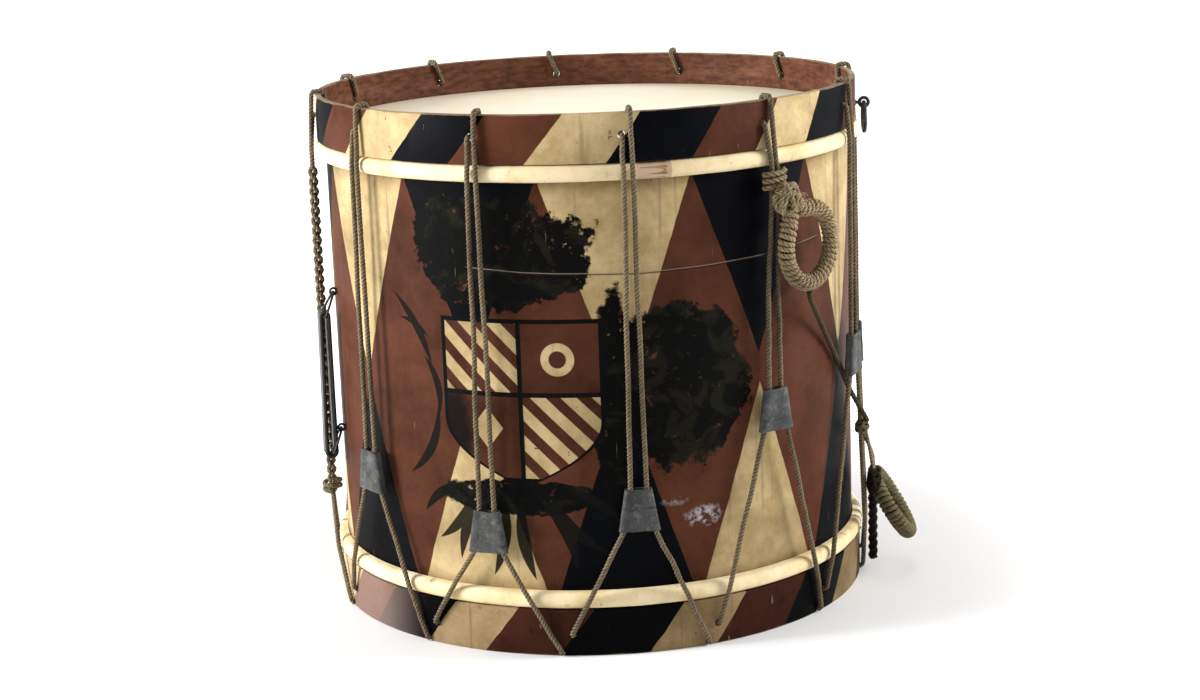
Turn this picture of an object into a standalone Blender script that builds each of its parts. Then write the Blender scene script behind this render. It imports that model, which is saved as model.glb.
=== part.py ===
"""Rope-tensioned military side drum at its real size, in metres, standing on its lower counter hoop.

The axis of the drum is Z. Angles are in degrees round it, from the front (-Y) towards the right (+X).
At an angle, "radius" points outwards, "offset" runs along the wall towards larger angles, and "height" is up.
"""

import math

import bmesh
import bpy
from mathutils import Matrix, Vector

# Shell
DRUM_HEIGHT = 0.408
SHELL_RADIUS = 0.209
SHELL_WALL = 0.005
BEARING_CHAMFER = 0.0018
STIFFENER_WALL = 0.004
STIFFENER_HEIGHT = 0.030
VENT_RADIUS = 0.004
VENT_HEIGHT = 0.204

# Skins, each lapped round its flesh hoop
HEAD_RECESS = 0.027
SKIN = 0.0008
SKIN_CORNER = 0.0020
ROLL_HEIGHT = 0.0133
ROLL_PROUD = 0.0024
ROLL_CORNER = 0.0030
LIP_GAP = 0.0015

# Counter hoops
HOOP_WALL = 0.005
HOOP_HEIGHT = 0.0366
HOOP_CHAMFER = 0.0010

# Rope and its holes
ROPE = 0.0040
ROPE_CLEARANCE = 0.0006
HOLE_RADIUS = 0.0030
HOLE_INSET = 0.0165
NOTCH_WIDTH = 0.0054
NOTCH_DEPTH = 0.0050
FLOOR_CLEARANCE = 0.0005
BEND = 0.0020
LACE_START = 7.5
POSITIONS = 12
TOP_SPREAD = 0.0030
BOTTOM_SPREAD = 0.0045
TWISTED = 9
TWISTS = 4
TWIST_TOP = 0.350
TWIST_BOTTOM = 0.081
TWIST_GAP = 0.0006
SPLICE_HEIGHT = 0.088
SPLICE_TURNS = 2

# Leather ears: the height of each one's foot, from the first position round to the right
EAR_FEET = (0.098, 0.160, 0.180, 0.165, 0.140, 0.120, 0.105, 0.115, 0.130, None, 0.1125, 0.081)
EAR_HEIGHT = 0.032
EAR_TOP_SPREAD = 0.0060
EAR_FOOT_SPREAD = 0.0115
EAR_ROOM = 0.0006
EAR_LEATHER = 0.0014
EAR_CORNER = 0.0016

# Carrying ring on the upper counter hoop
CARRY_ANGLE = 88.0
CARRY_DROP = 0.0247
CARRY_STANDOFF = 0.0076
CARRY_EYE = 0.0036
CARRY_EYE_WIRE = 0.0014
CARRY_RING = 0.0115
CARRY_RING_WIRE = 0.0017

# Leather handle on two wire links
HANDLE_ANGLE = -76.0
HANDLE_TOP_EYE = 0.2533
HANDLE_LOW_EYE = 0.1417
EYE_STANDOFF = 0.0030
EYE_LOOP = 0.0026
EYE_WIRE = 0.0010
LINK_WIRE = 0.0010
LINK_LENGTH = 0.020
LINK_LEAN = 25.5
LINK_NECK = 0.0030
LINK_HALF_WIDTH = 0.0110
LINK_CORNER = 0.0020
STRAP_WIDTH = 0.014
STRAP_PLY = 0.0032
STRAP_CHAMFER = 0.0010
STRAP_BELLY = 0.0022
STRAP_BELLY_SHIFT = 0.0009

# Gut snare under the lower head
SNARE = 0.0018
SNARE_SPREAD = 0.012
SNARE_HOLE = 0.0014
SNARE_ANGLE = 90.0
SNARE_TAIL = 0.0030

# Sling rope with two whipped grips
SLING = 0.0044
GRIP_WIDE = 0.026
GRIP_TALL = 0.0285
GRIP_LIMB = 0.0135
GRIP_TURNS = 21
GRIP_ARC = 292.0
CURL_POINTS = 8
FRONT_GRIP_ANGLE = 45.0
FRONT_GRIP_HEIGHT = 0.2975
FRONT_GRIP_OPENS_AT = 117.0
SIDE_GRIP_ANGLE = 82.3
SIDE_GRIP_RADIUS = 0.2410
SIDE_GRIP_HEIGHT = 0.0575
SIDE_GRIP_LEAN = 31.0
SIDE_GRIP_OPENS_AT = 90.0
LASHED_POSITION = 1
LASHED_TURNS = 2
KNOT_ANGLE = 40.8
KNOT_RADIUS = 0.2287
KNOT_TOP = 0.3412
KNOT_TURNS = 2
KNOT_HALF_WIDTH = 0.0086
KNOT_HALF_DEPTH = 0.0047
HITCH_HEIGHT = 0.127
HITCH_TURNS = 2
TAIL_RADIUS = 0.0034

# The ends of each grip's core beyond its whipping, as (angle, radius, height)
FRONT_LEADS = (
    (
        (39.7, 0.2295, 0.3160),
        (40.1, 0.2294, 0.3220),
        (40.2, 0.2290, 0.3280),
        (40.1, 0.2287, 0.3340),
        (40.0, 0.2285, 0.3372),
    ),
    (
        (44.2, 0.2294, 0.3255),
        (42.8, 0.2291, 0.3262),
        (41.9, 0.2288, 0.3285),
        (41.6, 0.2287, 0.3330),
        (41.5, 0.2286, 0.3372),
    ),
)
SIDE_LEADS = (
    (
        (79.5, 0.2276, 0.0797),
        (79.6, 0.2270, 0.0850),
        (78.4, 0.2266, 0.0960),
        (76.2, 0.2260, 0.1080),
        (74.5, 0.2240, 0.1240),
    ),
    (
        (85.1, 0.2276, 0.0797),
        (84.0, 0.2272, 0.0850),
        (82.0, 0.2270, 0.0915),
        (79.9, 0.2268, 0.0990),
        (77.5, 0.2250, 0.1095),
        (75.7, 0.2206, 0.1220),
    ),
)

# Sling routes, as (angle, radius, height)
SLING_RUN = (
    (45.0, 0.2294, 0.2618),
    (46.4, 0.2262, 0.2545),
    (51.4, 0.2185, 0.2374),
    (57.0, 0.2142, 0.2163),
    (62.2, 0.2128, 0.1960),
    (66.2, 0.2128, 0.1800),
    (68.8, 0.2146, 0.1665),
    (70.8, 0.2196, 0.1520),
    (72.1, 0.2242, 0.1408),
    (73.3, 0.2256, 0.1348),
)
SLING_TAIL = (
    (82.4, 0.2262, 0.0844),
    (82.4, 0.2262, 0.0700),
    (82.2, 0.2263, 0.0550),
    (82.5, 0.2263, 0.0400),
    (82.3, 0.2262, 0.0250),
    (82.6, 0.2262, 0.0080),
)

SEAT = 0.0003
FACETS = 48

# Worked-out sizes
COLLAR_IN = SHELL_RADIUS + SEAT
COLLAR_OUT = COLLAR_IN + SKIN
HOOP_IN = COLLAR_OUT + SEAT
HOOP_OUT = HOOP_IN + HOOP_WALL
ROLL_OUT = HOOP_OUT + ROLL_PROUD
ROPE_RUN = ROLL_OUT + ROPE_CLEARANCE + ROPE / 2
ROPE_INSIDE = HOOP_IN - ROPE_CLEARANCE - ROPE / 2
ROPE_OUTSIDE = HOOP_OUT + ROPE_CLEARANCE + ROPE / 2
STEP_ANGLE = 360.0 / POSITIONS
TOP_ROLL_MID = DRUM_HEIGHT - HOOP_HEIGHT - ROLL_HEIGHT / 2
LOW_ROLL_MID = HOOP_HEIGHT + ROLL_HEIGHT / 2
SKIN_FACE = HEAD_RECESS + SKIN + SEAT


def clear_scene():
    for old in list(bpy.data.objects):
        bpy.data.objects.remove(old, do_unlink=True)


def finish(name, colour, roughness, metallic=0.0):
    made = bpy.data.materials.new(name)
    made.use_nodes = True
    shader = made.node_tree.nodes["Principled BSDF"]
    shader.inputs["Base Color"].default_value = (*colour, 1.0)
    shader.inputs["Roughness"].default_value = roughness
    shader.inputs["Metallic"].default_value = metallic
    return made


def position_angle(index):
    return LACE_START + STEP_ANGLE * index


def frame_at(angle):
    """Turns local X to the radius, local Y along the wall and leaves Z up."""
    return Matrix.Rotation(math.radians(angle - 90.0), 4, "Z")


def beside(angle, radius, offset, height):
    return frame_at(angle) @ Vector((radius, offset, height))


def round_axis(route):
    return [beside(angle, radius, 0.0, height) for angle, radius, height in route]


def show(name, data, material, matrix=None):
    made = bpy.data.objects.new(name, data)
    bpy.context.scene.collection.objects.link(made)
    data.materials.append(material)
    if matrix is not None:
        made.matrix_world = matrix
    return made


def mesh_piece(name, bm, material, matrix=None, smooth_below=40.0):
    bmesh.ops.recalc_face_normals(bm, faces=bm.faces)
    mesh = bpy.data.meshes.new(name)
    bm.to_mesh(mesh)
    bm.free()
    mesh.shade_smooth()
    mesh.set_sharp_from_angle(angle=math.radians(smooth_below))
    return show(name, mesh, material, matrix)


def spun(profile, facets):
    """A closed outline of (radius, height) points, turned round Z."""
    bm = bmesh.new()
    points = [bm.verts.new((radius, 0.0, height)) for radius, height in profile]
    edges = [bm.edges.new((a, b)) for a, b in zip(points, points[1:] + points[:1])]
    for edge in [e for e in edges if all(abs(v.co.x) < 1e-9 for v in e.verts)]:
        bm.edges.remove(edge)
    bmesh.ops.spin(
        bm, geom=bm.verts[:] + bm.edges[:], cent=(0, 0, 0), axis=(0, 0, 1),
        angle=math.tau, steps=facets, use_merge=True,
    )
    bmesh.ops.remove_doubles(bm, verts=bm.verts, dist=1e-6)
    return bm


def turned(name, profile, material, facets=FACETS):
    return mesh_piece(name, spun(profile, facets), material)


def ribbon(line, thickness):
    """The outline of a sheet of even thickness that follows a line of (radius, height) points."""
    points = [Vector(p) for p in line]
    left, right = [], []
    for i, point in enumerate(points):
        before = (point - points[i - 1]).normalized() if i else None
        after = (points[i + 1] - point).normalized() if i + 1 < len(points) else None
        along = ((before or after) + (after or before)).normalized()
        across = Vector((-along.y, along.x))
        reach = thickness / 2 / across.dot(Vector((-(after or before).y, (after or before).x)))
        left.append(point + across * reach)
        right.append(point - across * reach)
    return [tuple(p) for p in left + right[::-1]]


def flipped(profile):
    """The same outline for the lower end of the drum."""
    return [(radius, DRUM_HEIGHT - height) for radius, height in profile]


def tube(name, points, radius, material, closed=False, sides_level=1):
    curve = bpy.data.curves.new(name, "CURVE")
    curve.dimensions = "3D"
    curve.bevel_depth = radius
    curve.bevel_resolution = sides_level
    curve.use_fill_caps = True
    spline = curve.splines.new("POLY")
    spline.points.add(len(points) - 1)
    for slot, point in zip(spline.points, points):
        slot.co = (*point, 1.0)
    spline.use_cyclic_u = closed
    return show(name, curve, material)


def smooth_route(points, steps):
    """A smooth curve through the given points, read at even steps between them."""
    made = []
    for i in range(len(points) - 1):
        p0 = points[max(i - 1, 0)]
        p1, p2 = points[i], points[i + 1]
        p3 = points[min(i + 2, len(points) - 1)]
        for step in range(steps):
            t = step / steps
            made.append(
                0.5 * (2 * p1 + (p2 - p0) * t + (2 * p0 - 5 * p1 + 4 * p2 - p3) * t**2
                       + (3 * p1 - p0 - 3 * p2 + p3) * t**3)
            )
    return made + [points[-1]]


def print_self_gap(name, points, thickness):
    """Prints the least gap between one turn of a wound tube and the next."""
    apart = CURL_POINTS - 2
    least = min(
        (a - b).length
        for i, a in enumerate(points)
        for b in points[i + apart:i + 3 * CURL_POINTS]
    )
    print(f"{name}: least gap to itself {(least - thickness) * 1000:.2f} mm")


def helper(name, bm):
    """A solid that only cuts or joins another piece."""
    bmesh.ops.recalc_face_normals(bm, faces=bm.faces)
    mesh = bpy.data.meshes.new(name)
    bm.to_mesh(mesh)
    bm.free()
    made = bpy.data.objects.new(name, mesh)
    bpy.context.scene.collection.objects.link(made)
    made.hide_render = True
    made.display_type = "WIRE"
    return made


def boolean(piece, operation, other):
    modifier = piece.modifiers.new(other.name, "BOOLEAN")
    modifier.operation = operation
    modifier.solver = "EXACT"
    modifier.object = other


def add_rod(bm, angle, offset, height, radius, start, end, sides=8):
    """A rod along the radius, from one distance off the axis to another."""
    along = frame_at(angle) @ Matrix.Translation(((start + end) / 2, offset, height))
    bmesh.ops.create_cone(
        bm, cap_ends=True, segments=sides, radius1=radius, radius2=radius, depth=end - start,
        matrix=along @ Matrix.Rotation(math.pi / 2, 4, "Y") @ Matrix.Rotation(math.pi / sides, 4, "Z"),
    )


def add_block(bm, angle, offset, low, high, width, start, end):
    """A block along the radius, from one height to another."""
    placed = frame_at(angle) @ Matrix.Translation(((start + end) / 2, offset, (low + high) / 2))
    size = Matrix.Diagonal((end - start, width, high - low, 1.0))
    bmesh.ops.create_cube(bm, size=1.0, matrix=placed @ size)


def add_ring(bm, matrix, radius, wire, steps, sides):
    """A round ring of wire in the local XZ plane."""
    rows = []
    for i in range(steps):
        a = math.tau * i / steps
        rows.append([
            bm.verts.new(matrix @ Vector((
                (radius + wire * math.cos(b)) * math.cos(a),
                wire * math.sin(b),
                (radius + wire * math.cos(b)) * math.sin(a),
            )))
            for b in (math.tau * j / sides for j in range(sides))
        ])
    for i, row in enumerate(rows):
        following = rows[(i + 1) % steps]
        for j in range(sides):
            k = (j + 1) % sides
            bm.faces.new((row[j], row[k], following[k], following[j]))


# Shell


def make_shell(wood):
    top = DRUM_HEIGHT - SKIN_FACE
    low = SKIN_FACE
    outer = SHELL_RADIUS
    inner = SHELL_RADIUS - SHELL_WALL
    shell = turned("shell", [
        (inner, top), (outer - BEARING_CHAMFER, top), (outer, top - BEARING_CHAMFER),
        (outer, low + BEARING_CHAMFER), (outer - BEARING_CHAMFER, low), (inner, low),
    ], wood)
    holes = bmesh.new()
    reach = (inner - SHELL_WALL, outer + SHELL_WALL)
    add_rod(holes, 180.0, 0.0, VENT_HEIGHT, VENT_RADIUS, *reach, sides=12)
    for height in (HANDLE_TOP_EYE, HANDLE_LOW_EYE):
        add_rod(holes, HANDLE_ANGLE, 0.0, height, EYE_WIRE + SEAT, *reach)
    boolean(shell, "DIFFERENCE", helper("shell_holes", holes))


def make_stiffeners(wood):
    outer = SHELL_RADIUS - SHELL_WALL - SEAT
    inner = outer - STIFFENER_WALL
    top = DRUM_HEIGHT - SKIN_FACE - SEAT
    low = top - STIFFENER_HEIGHT
    lead_in = (inner + STIFFENER_WALL / 2, low)
    profile = [(inner, top), (outer, top), (outer, low), lead_in, (inner, low + STIFFENER_WALL)]
    turned("upper_stiffening_ring", profile, wood, facets=FACETS // 2)
    turned("lower_stiffening_ring", flipped(profile), wood, facets=FACETS // 2)


# Heads


def skin_line():
    """The middle of the upper skin, from the axis over the shell's edge and round the flesh hoop."""
    face = DRUM_HEIGHT - HEAD_RECESS - SKIN / 2
    collar = COLLAR_IN + SKIN / 2
    low = DRUM_HEIGHT - HOOP_HEIGHT - ROLL_HEIGHT + SKIN / 2
    high = DRUM_HEIGHT - HOOP_HEIGHT - SKIN / 2
    outer = ROLL_OUT - SKIN / 2
    return [
        (0.0, face), (collar - SKIN_CORNER, face), (collar, face - SKIN_CORNER), (collar, low),
        (outer - ROLL_CORNER * 0.7, low), (outer, low + ROLL_CORNER), (outer, high - ROLL_CORNER),
        (outer - ROLL_CORNER * 0.7, high), (collar + LIP_GAP, high),
    ]


def make_heads(vellum, pale_wood):
    profile = ribbon(skin_line(), SKIN)
    turned("batter_head", profile, vellum)
    turned("snare_head", flipped(profile), vellum)
    inner = COLLAR_OUT + SEAT
    outer = ROLL_OUT - SKIN - SEAT
    low = DRUM_HEIGHT - HOOP_HEIGHT - ROLL_HEIGHT + SKIN + SEAT
    high = DRUM_HEIGHT - HOOP_HEIGHT - SKIN - SEAT
    hoop = [
        (inner, high), (outer - ROLL_CORNER, high), (outer, high - ROLL_CORNER),
        (outer, low + ROLL_CORNER), (outer - ROLL_CORNER, low), (inner, low),
    ]
    turned("upper_flesh_hoop", hoop, pale_wood)
    turned("lower_flesh_hoop", flipped(hoop), pale_wood)


# Counter hoops


def make_counter_hoops(wood):
    rim = DRUM_HEIGHT
    foot = DRUM_HEIGHT - HOOP_HEIGHT + SEAT
    c = HOOP_CHAMFER
    profile = [
        (HOOP_IN, foot), (HOOP_OUT, foot), (HOOP_OUT, rim - c), (HOOP_OUT - c, rim), (HOOP_IN, rim),
    ]
    upper = turned("upper_counter_hoop", profile, wood)
    lower = turned("lower_counter_hoop", flipped(profile), wood)
    reach = (HOOP_IN - HOOP_WALL, HOOP_OUT + HOOP_WALL)
    upper_cuts, lower_cuts = bmesh.new(), bmesh.new()
    for index in range(POSITIONS):
        top = position_angle(index)
        bottom = top - STEP_ANGLE / 2
        add_rod(upper_cuts, top, -TOP_SPREAD, DRUM_HEIGHT - HOLE_INSET, HOLE_RADIUS, *reach)
        add_rod(lower_cuts, bottom, BOTTOM_SPREAD, HOLE_INSET, HOLE_RADIUS, *reach)
        add_block(lower_cuts, bottom, -BOTTOM_SPREAD, -NOTCH_DEPTH, NOTCH_DEPTH, NOTCH_WIDTH, *reach)
    add_rod(upper_cuts, CARRY_ANGLE, 0.0, DRUM_HEIGHT - CARRY_DROP, CARRY_EYE_WIRE + SEAT, *reach)
    for angle in (SNARE_ANGLE, -SNARE_ANGLE):
        for side in (-1, 1):
            add_rod(lower_cuts, angle, side * SNARE_SPREAD / 2, snare_height(), SNARE_HOLE, *reach, sides=6)
    boolean(upper, "DIFFERENCE", helper("upper_hoop_cuts", upper_cuts))
    boolean(lower, "DIFFERENCE", helper("lower_hoop_cuts", lower_cuts))


# Tension rope


def at_rope_run(start, end, height):
    """Where a strand from start to end crosses a height, moved out to clear the lapped roll."""
    crossing = start.lerp(end, (height - start.z) / (end.z - start.z))
    reach = ROPE_RUN / math.hypot(crossing.x, crossing.y)
    return Vector((crossing.x * reach, crossing.y * reach, height))


def top_bight(angle):
    """From the left strand in through the hole, then up inside and over the rim to the right strand."""
    hole = DRUM_HEIGHT - HOLE_INSET
    over = DRUM_HEIGHT + ROPE_CLEARANCE / 2 + ROPE / 2
    left, right = -TOP_SPREAD, TOP_SPREAD
    return [beside(angle, *p) for p in (
        (ROPE_OUTSIDE, left, hole - BEND), (ROPE_OUTSIDE - BEND * 0.8, left, hole),
        (ROPE_INSIDE + BEND * 0.7, left, hole), (ROPE_INSIDE, left, hole + BEND),
        (ROPE_INSIDE, right, over - BEND * 1.3), (ROPE_INSIDE + BEND * 0.7, right, over),
        (ROPE_OUTSIDE - BEND * 0.7, right, over), (ROPE_OUTSIDE, right, over - BEND * 1.3),
    )]


def bottom_bight(angle):
    """Under the edge in its notch at the left, then up inside and out of the hole at the right."""
    under = FLOOR_CLEARANCE + ROPE / 2
    left, right = -BOTTOM_SPREAD, BOTTOM_SPREAD
    return [beside(angle, *p) for p in (
        (ROPE_OUTSIDE, left, under + BEND * 1.3), (ROPE_OUTSIDE - BEND * 0.7, left, under),
        (ROPE_INSIDE + BEND * 0.7, left, under), (ROPE_INSIDE, left, under + BEND * 1.3),
        (ROPE_INSIDE, right, HOLE_INSET - BEND), (ROPE_INSIDE + BEND * 0.7, right, HOLE_INSET),
        (ROPE_OUTSIDE - BEND * 0.8, right, HOLE_INSET), (ROPE_OUTSIDE, right, HOLE_INSET + BEND),
    )]


def ear_strand(index, side):
    """Foot and top of one strand inside a leather ear."""
    angle = position_angle(index)
    foot = EAR_FEET[index]
    return [
        beside(angle, ROPE_RUN, side * EAR_FOOT_SPREAD, foot),
        beside(angle, ROPE_RUN, side * EAR_TOP_SPREAD, foot + EAR_HEIGHT),
    ]


def twisted_strand(index, side):
    """One of two strands laid round each other, from the splice up to the hoop."""
    angle = position_angle(index)
    lay = (ROPE + TWIST_GAP) / 2
    count = TWISTS * 6
    points = []
    for step in range(count + 1):
        turn = math.tau * TWISTS * step / count
        height = TWIST_BOTTOM + (TWIST_TOP - TWIST_BOTTOM) * step / count
        points.append(beside(
            angle, ROPE_RUN + side * lay * math.sin(turn), side * lay * math.cos(turn), height
        ))
    return points


def strand(index, side):
    return twisted_strand(index, side) if EAR_FEET[index] is None else ear_strand(index, side)


def lacing_route():
    route = []
    for index in range(POSITIONS):
        angle = position_angle(index)
        before = bottom_bight(angle - STEP_ANGLE / 2)
        after = bottom_bight(angle + STEP_ANGLE / 2)
        top = top_bight(angle)
        left, right = strand(index, -1), strand(index, 1)
        route += before
        route.append(at_rope_run(before[-1], left[0], LOW_ROLL_MID))
        route += left
        route.append(at_rope_run(left[-1], top[0], TOP_ROLL_MID))
        route += top
        route.append(at_rope_run(top[-1], right[-1], TOP_ROLL_MID))
        route += right[::-1]
        route.append(at_rope_run(right[0], after[0], LOW_ROLL_MID))
    return route


def make_tension_rope(hemp):
    tube("tension_rope", lacing_route(), ROPE / 2, hemp, closed=True)


def turns_round(
    centre, across, deep, rise, half_width, half_depth, turns, start=0, points_per_turn=CURL_POINTS
):
    """Turns of rope whose straight steps keep half_width across and half_depth deep of their centre."""
    corner = 1 / math.cos(math.pi / points_per_turn)
    points = []
    for step in range(turns * points_per_turn + 1 - start):
        phase = math.tau * (step + start) / points_per_turn
        points.append(
            centre + across * half_width * corner * math.cos(phase)
            + deep * half_depth * corner * math.sin(phase)
            + rise * (step / points_per_turn)
        )
    return points


def make_splice(hemp):
    """The lashing that ends the twisted pair, just above where its strands part."""
    angle = position_angle(TWISTED)
    pitch = ROPE + TWIST_GAP
    reach = 1.5 * ROPE + TWIST_GAP / 2 + SEAT
    points = turns_round(
        beside(angle, ROPE_RUN, 0.0, SPLICE_HEIGHT - pitch * SPLICE_TURNS / 2),
        frame_at(angle) @ Vector((0, 1, 0)), frame_at(angle) @ Vector((1, 0, 0)), Vector((0, 0, pitch)),
        reach, reach, SPLICE_TURNS,
    )
    print_self_gap("rope_splice", points, ROPE)
    tube("rope_splice", points, ROPE / 2, hemp)


# Leather ears


def ear_outline(half_depth, half_width, corner):
    d, w, c = half_depth, half_width, corner
    return [
        (d, c - w), (d, w - c), (d - c, w), (c - d, w),
        (-d, w - c), (-d, c - w), (c - d, -w), (d - c, -w),
    ]


def ear_shape():
    bore_depth = ROPE / 2 + EAR_ROOM
    bore_top = EAR_TOP_SPREAD + ROPE / 2 + EAR_ROOM
    bore_foot = EAR_FOOT_SPREAD + ROPE / 2 + EAR_ROOM
    bm = bmesh.new()
    rings = []
    for leather, corner in ((EAR_LEATHER, EAR_CORNER), (0.0, EAR_CORNER / 2)):
        for half_width, height in ((bore_foot, 0.0), (bore_top, EAR_HEIGHT)):
            outline = ear_outline(bore_depth + leather, half_width + leather, corner)
            rings.append([bm.verts.new((x, y, height)) for x, y in outline])
    outer_foot, outer_top, inner_foot, inner_top = rings
    loop = (outer_foot, outer_top, inner_top, inner_foot, outer_foot)
    for a, b in zip(loop, loop[1:]):
        for i in range(len(a)):
            j = (i + 1) % len(a)
            bm.faces.new((a[i], a[j], b[j], b[i]))
    return bm


def make_ears(leather):
    for index, foot in enumerate(EAR_FEET):
        if foot is None:
            continue
        place = frame_at(position_angle(index)) @ Matrix.Translation((ROPE_RUN, 0.0, foot))
        mesh_piece(f"tension_ear_{index + 1:02d}", ear_shape(), leather, place)


# Iron eyes, carrying ring and handle


def screw_eye(name, angle, height, base, centre, loop, wire, inner_end, material):
    """A loop of wire on a shank that is driven through the wall and ends inside it."""
    bm = bmesh.new()
    place = frame_at(angle) @ Matrix.Translation((centre, 0.0, height))
    add_ring(bm, place, loop, wire, 12, 6)
    eye = mesh_piece(name, bm, material)
    shank, collar = bmesh.new(), bmesh.new()
    add_rod(shank, angle, 0.0, height, wire * 0.96, inner_end, centre - loop + wire * 0.3, sides=7)
    add_rod(collar, angle, 0.0, height, wire * 1.8, base + SEAT, base + SEAT + wire * 0.8, sides=8)
    boolean(eye, "UNION", helper(f"{name}_shank", shank))
    boolean(eye, "UNION", helper(f"{name}_collar", collar))


def make_carrying_ring(iron):
    height = DRUM_HEIGHT - CARRY_DROP
    centre = HOOP_OUT + CARRY_STANDOFF
    screw_eye(
        "carrying_eye", CARRY_ANGLE, height, HOOP_OUT, centre, CARRY_EYE, CARRY_EYE_WIRE,
        HOOP_IN + SEAT, iron,
    )
    axis_height = height - CARRY_EYE + CARRY_EYE_WIRE + CARRY_RING_WIRE + SEAT
    bm = bmesh.new()
    hanging = Matrix.Translation((0, 0, -CARRY_RING)) @ Matrix.Rotation(math.pi / 2, 4, "Z")
    add_ring(bm, hanging, CARRY_RING, CARRY_RING_WIRE, 20, 6)
    place = frame_at(CARRY_ANGLE) @ Matrix.Translation((centre, 0.0, axis_height))
    mesh_piece("carrying_ring", bm, iron, place)
    print("carrying ring axis", [round(v, 5) for v in place.translation])


def link_hinge_height(eye_height):
    return eye_height - EYE_LOOP + EYE_WIRE + LINK_WIRE + SEAT


def link_points():
    """A three-sided wire link, hanging from its neck: points in the local YZ plane."""
    w, n, c, low = LINK_HALF_WIDTH, LINK_NECK, LINK_CORNER, -LINK_LENGTH
    half = [(n, 0.0), (w, low + c), (w - c, low)]
    return [Vector((0.0, y, z)) for y, z in half] + [Vector((0.0, -y, z)) for y, z in half[::-1]]


def make_links(iron):
    lean = Matrix.Rotation(-math.radians(LINK_LEAN), 4, "Y")
    for name, eye_height in (("upper", HANDLE_TOP_EYE), ("lower", HANDLE_LOW_EYE)):
        centre = SHELL_RADIUS + EYE_STANDOFF
        screw_eye(
            f"{name}_handle_eye", HANDLE_ANGLE, eye_height, SHELL_RADIUS, centre, EYE_LOOP, EYE_WIRE,
            SHELL_RADIUS - SHELL_WALL - EYE_WIRE, iron,
        )
        place = frame_at(HANDLE_ANGLE) @ Matrix.Translation((centre, 0.0, link_hinge_height(eye_height)))
        link = tube(f"{name}_handle_link", link_points(), LINK_WIRE, iron, closed=True)
        link.matrix_world = place @ lean
        print(f"{name} link axis", [round(v, 5) for v in place.translation])


def bar_place(eye_height):
    """Radius and height of a link's bar."""
    lean = math.radians(LINK_LEAN)
    return (
        SHELL_RADIUS + EYE_STANDOFF + LINK_LENGTH * math.sin(lean),
        link_hinge_height(eye_height) - LINK_LENGTH * math.cos(lean),
    )


def strap_loop(grow):
    """Side view of the belt round the strap's two folds, moved out by grow, from the upper bar."""
    top = Vector((0.0, 0.0))
    low = Vector((STRAP_BELLY_SHIFT, HANDLE_LOW_EYE - HANDLE_TOP_EYE))
    small = LINK_WIRE + SEAT + grow
    large = STRAP_BELLY + grow
    spread = math.asin((large - small) / (low - top).length)
    heading = math.atan2(low.y - top.y, low.x - top.x)
    outer_side, inner_side = heading + math.pi / 2 + spread, heading - math.pi / 2 - spread + math.tau
    points = []
    for centre, radius, start, end, steps in (
        (top, small, outer_side, inner_side, 6),
        (low, large, inner_side, outer_side + math.tau, 8),
    ):
        for step in range(steps + 1):
            a = start + (end - start) * step / steps
            points.append(centre + radius * Vector((math.cos(a), math.sin(a))))
    return points


def make_strap(leather):
    """A closed band: eight points round its section, carried along the loop."""
    half, c = STRAP_WIDTH / 2, STRAP_CHAMFER
    section = [(0.0, c - half), (c, -half), (STRAP_PLY - c, -half), (STRAP_PLY, c - half)]
    section += [(grow, -y) for grow, y in section[::-1]]
    bm = bmesh.new()
    rows = []
    for grow, y in section:
        rows.append([bm.verts.new((p.x, y, p.y)) for p in strap_loop(grow)])
    for i, row in enumerate(rows):
        following = rows[(i + 1) % len(rows)]
        for j in range(len(row)):
            k = (j + 1) % len(row)
            bm.faces.new((row[j], row[k], following[k], following[j]))
    radius, height = bar_place(HANDLE_TOP_EYE)
    place = frame_at(HANDLE_ANGLE) @ Matrix.Translation((radius, 0.0, height))
    mesh_piece("handle_strap", bm, leather, place)
    print("strap axis", [round(v, 5) for v in place.translation])


# Snare


def snare_height():
    return HEAD_RECESS - SEAT - SNARE / 2


def make_snare(gut):
    """A doubled length of gut across the lower head: its bend and its two ends are outside the hoop."""
    half, height = SNARE_SPREAD / 2, snare_height()
    bend = HOOP_OUT + SEAT + SNARE / 2
    axis = frame_at(SNARE_ANGLE)
    points = [axis @ Vector(p) for p in (
        (-HOOP_OUT - SNARE_TAIL, -half, height), (0.0, -half, height), (bend - SNARE, -half, height),
        (bend + SNARE / 3, SNARE - half, height), (bend + SNARE / 3, half - SNARE, height),
        (bend - SNARE, half, height), (0.0, half, height), (-HOOP_OUT - SNARE_TAIL, half, height),
    )]
    tube("gut_snare", points, SNARE / 2, gut)


# Sling rope


def grip_matrix_front():
    """The front grip lies against the strands: its plane is square to the radius."""
    radius = ROPE_RUN + ROPE / 2 + SEAT + GRIP_LIMB / 2
    return frame_at(FRONT_GRIP_ANGLE) @ Matrix.Translation((radius, 0.0, FRONT_GRIP_HEIGHT))


def grip_matrix_side():
    """The side grip stands off the wall, its foot leaning outwards."""
    return (
        frame_at(SIDE_GRIP_ANGLE) @ Matrix.Translation((SIDE_GRIP_RADIUS, 0.0, SIDE_GRIP_HEIGHT))
        @ Matrix.Rotation(-math.radians(SIDE_GRIP_LEAN), 4, "Y")
    )


def grip_points(matrix, opens_at, bend_radius, turns, steps):
    """Points along a grip, which runs round from one side of its opening to the other."""
    start = math.radians(opens_at + (360.0 - GRIP_ARC) / 2)
    points = []
    for step in range(steps + 1):
        a = start + math.radians(GRIP_ARC) * step / steps
        phase = math.tau * turns * step / steps
        bend = bend_radius * math.cos(phase)
        across, up = (GRIP_WIDE + bend) * math.cos(a), (GRIP_TALL + bend) * math.sin(a)
        points.append(matrix @ Vector((bend_radius * math.sin(phase), across, up)))
    return points


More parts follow.
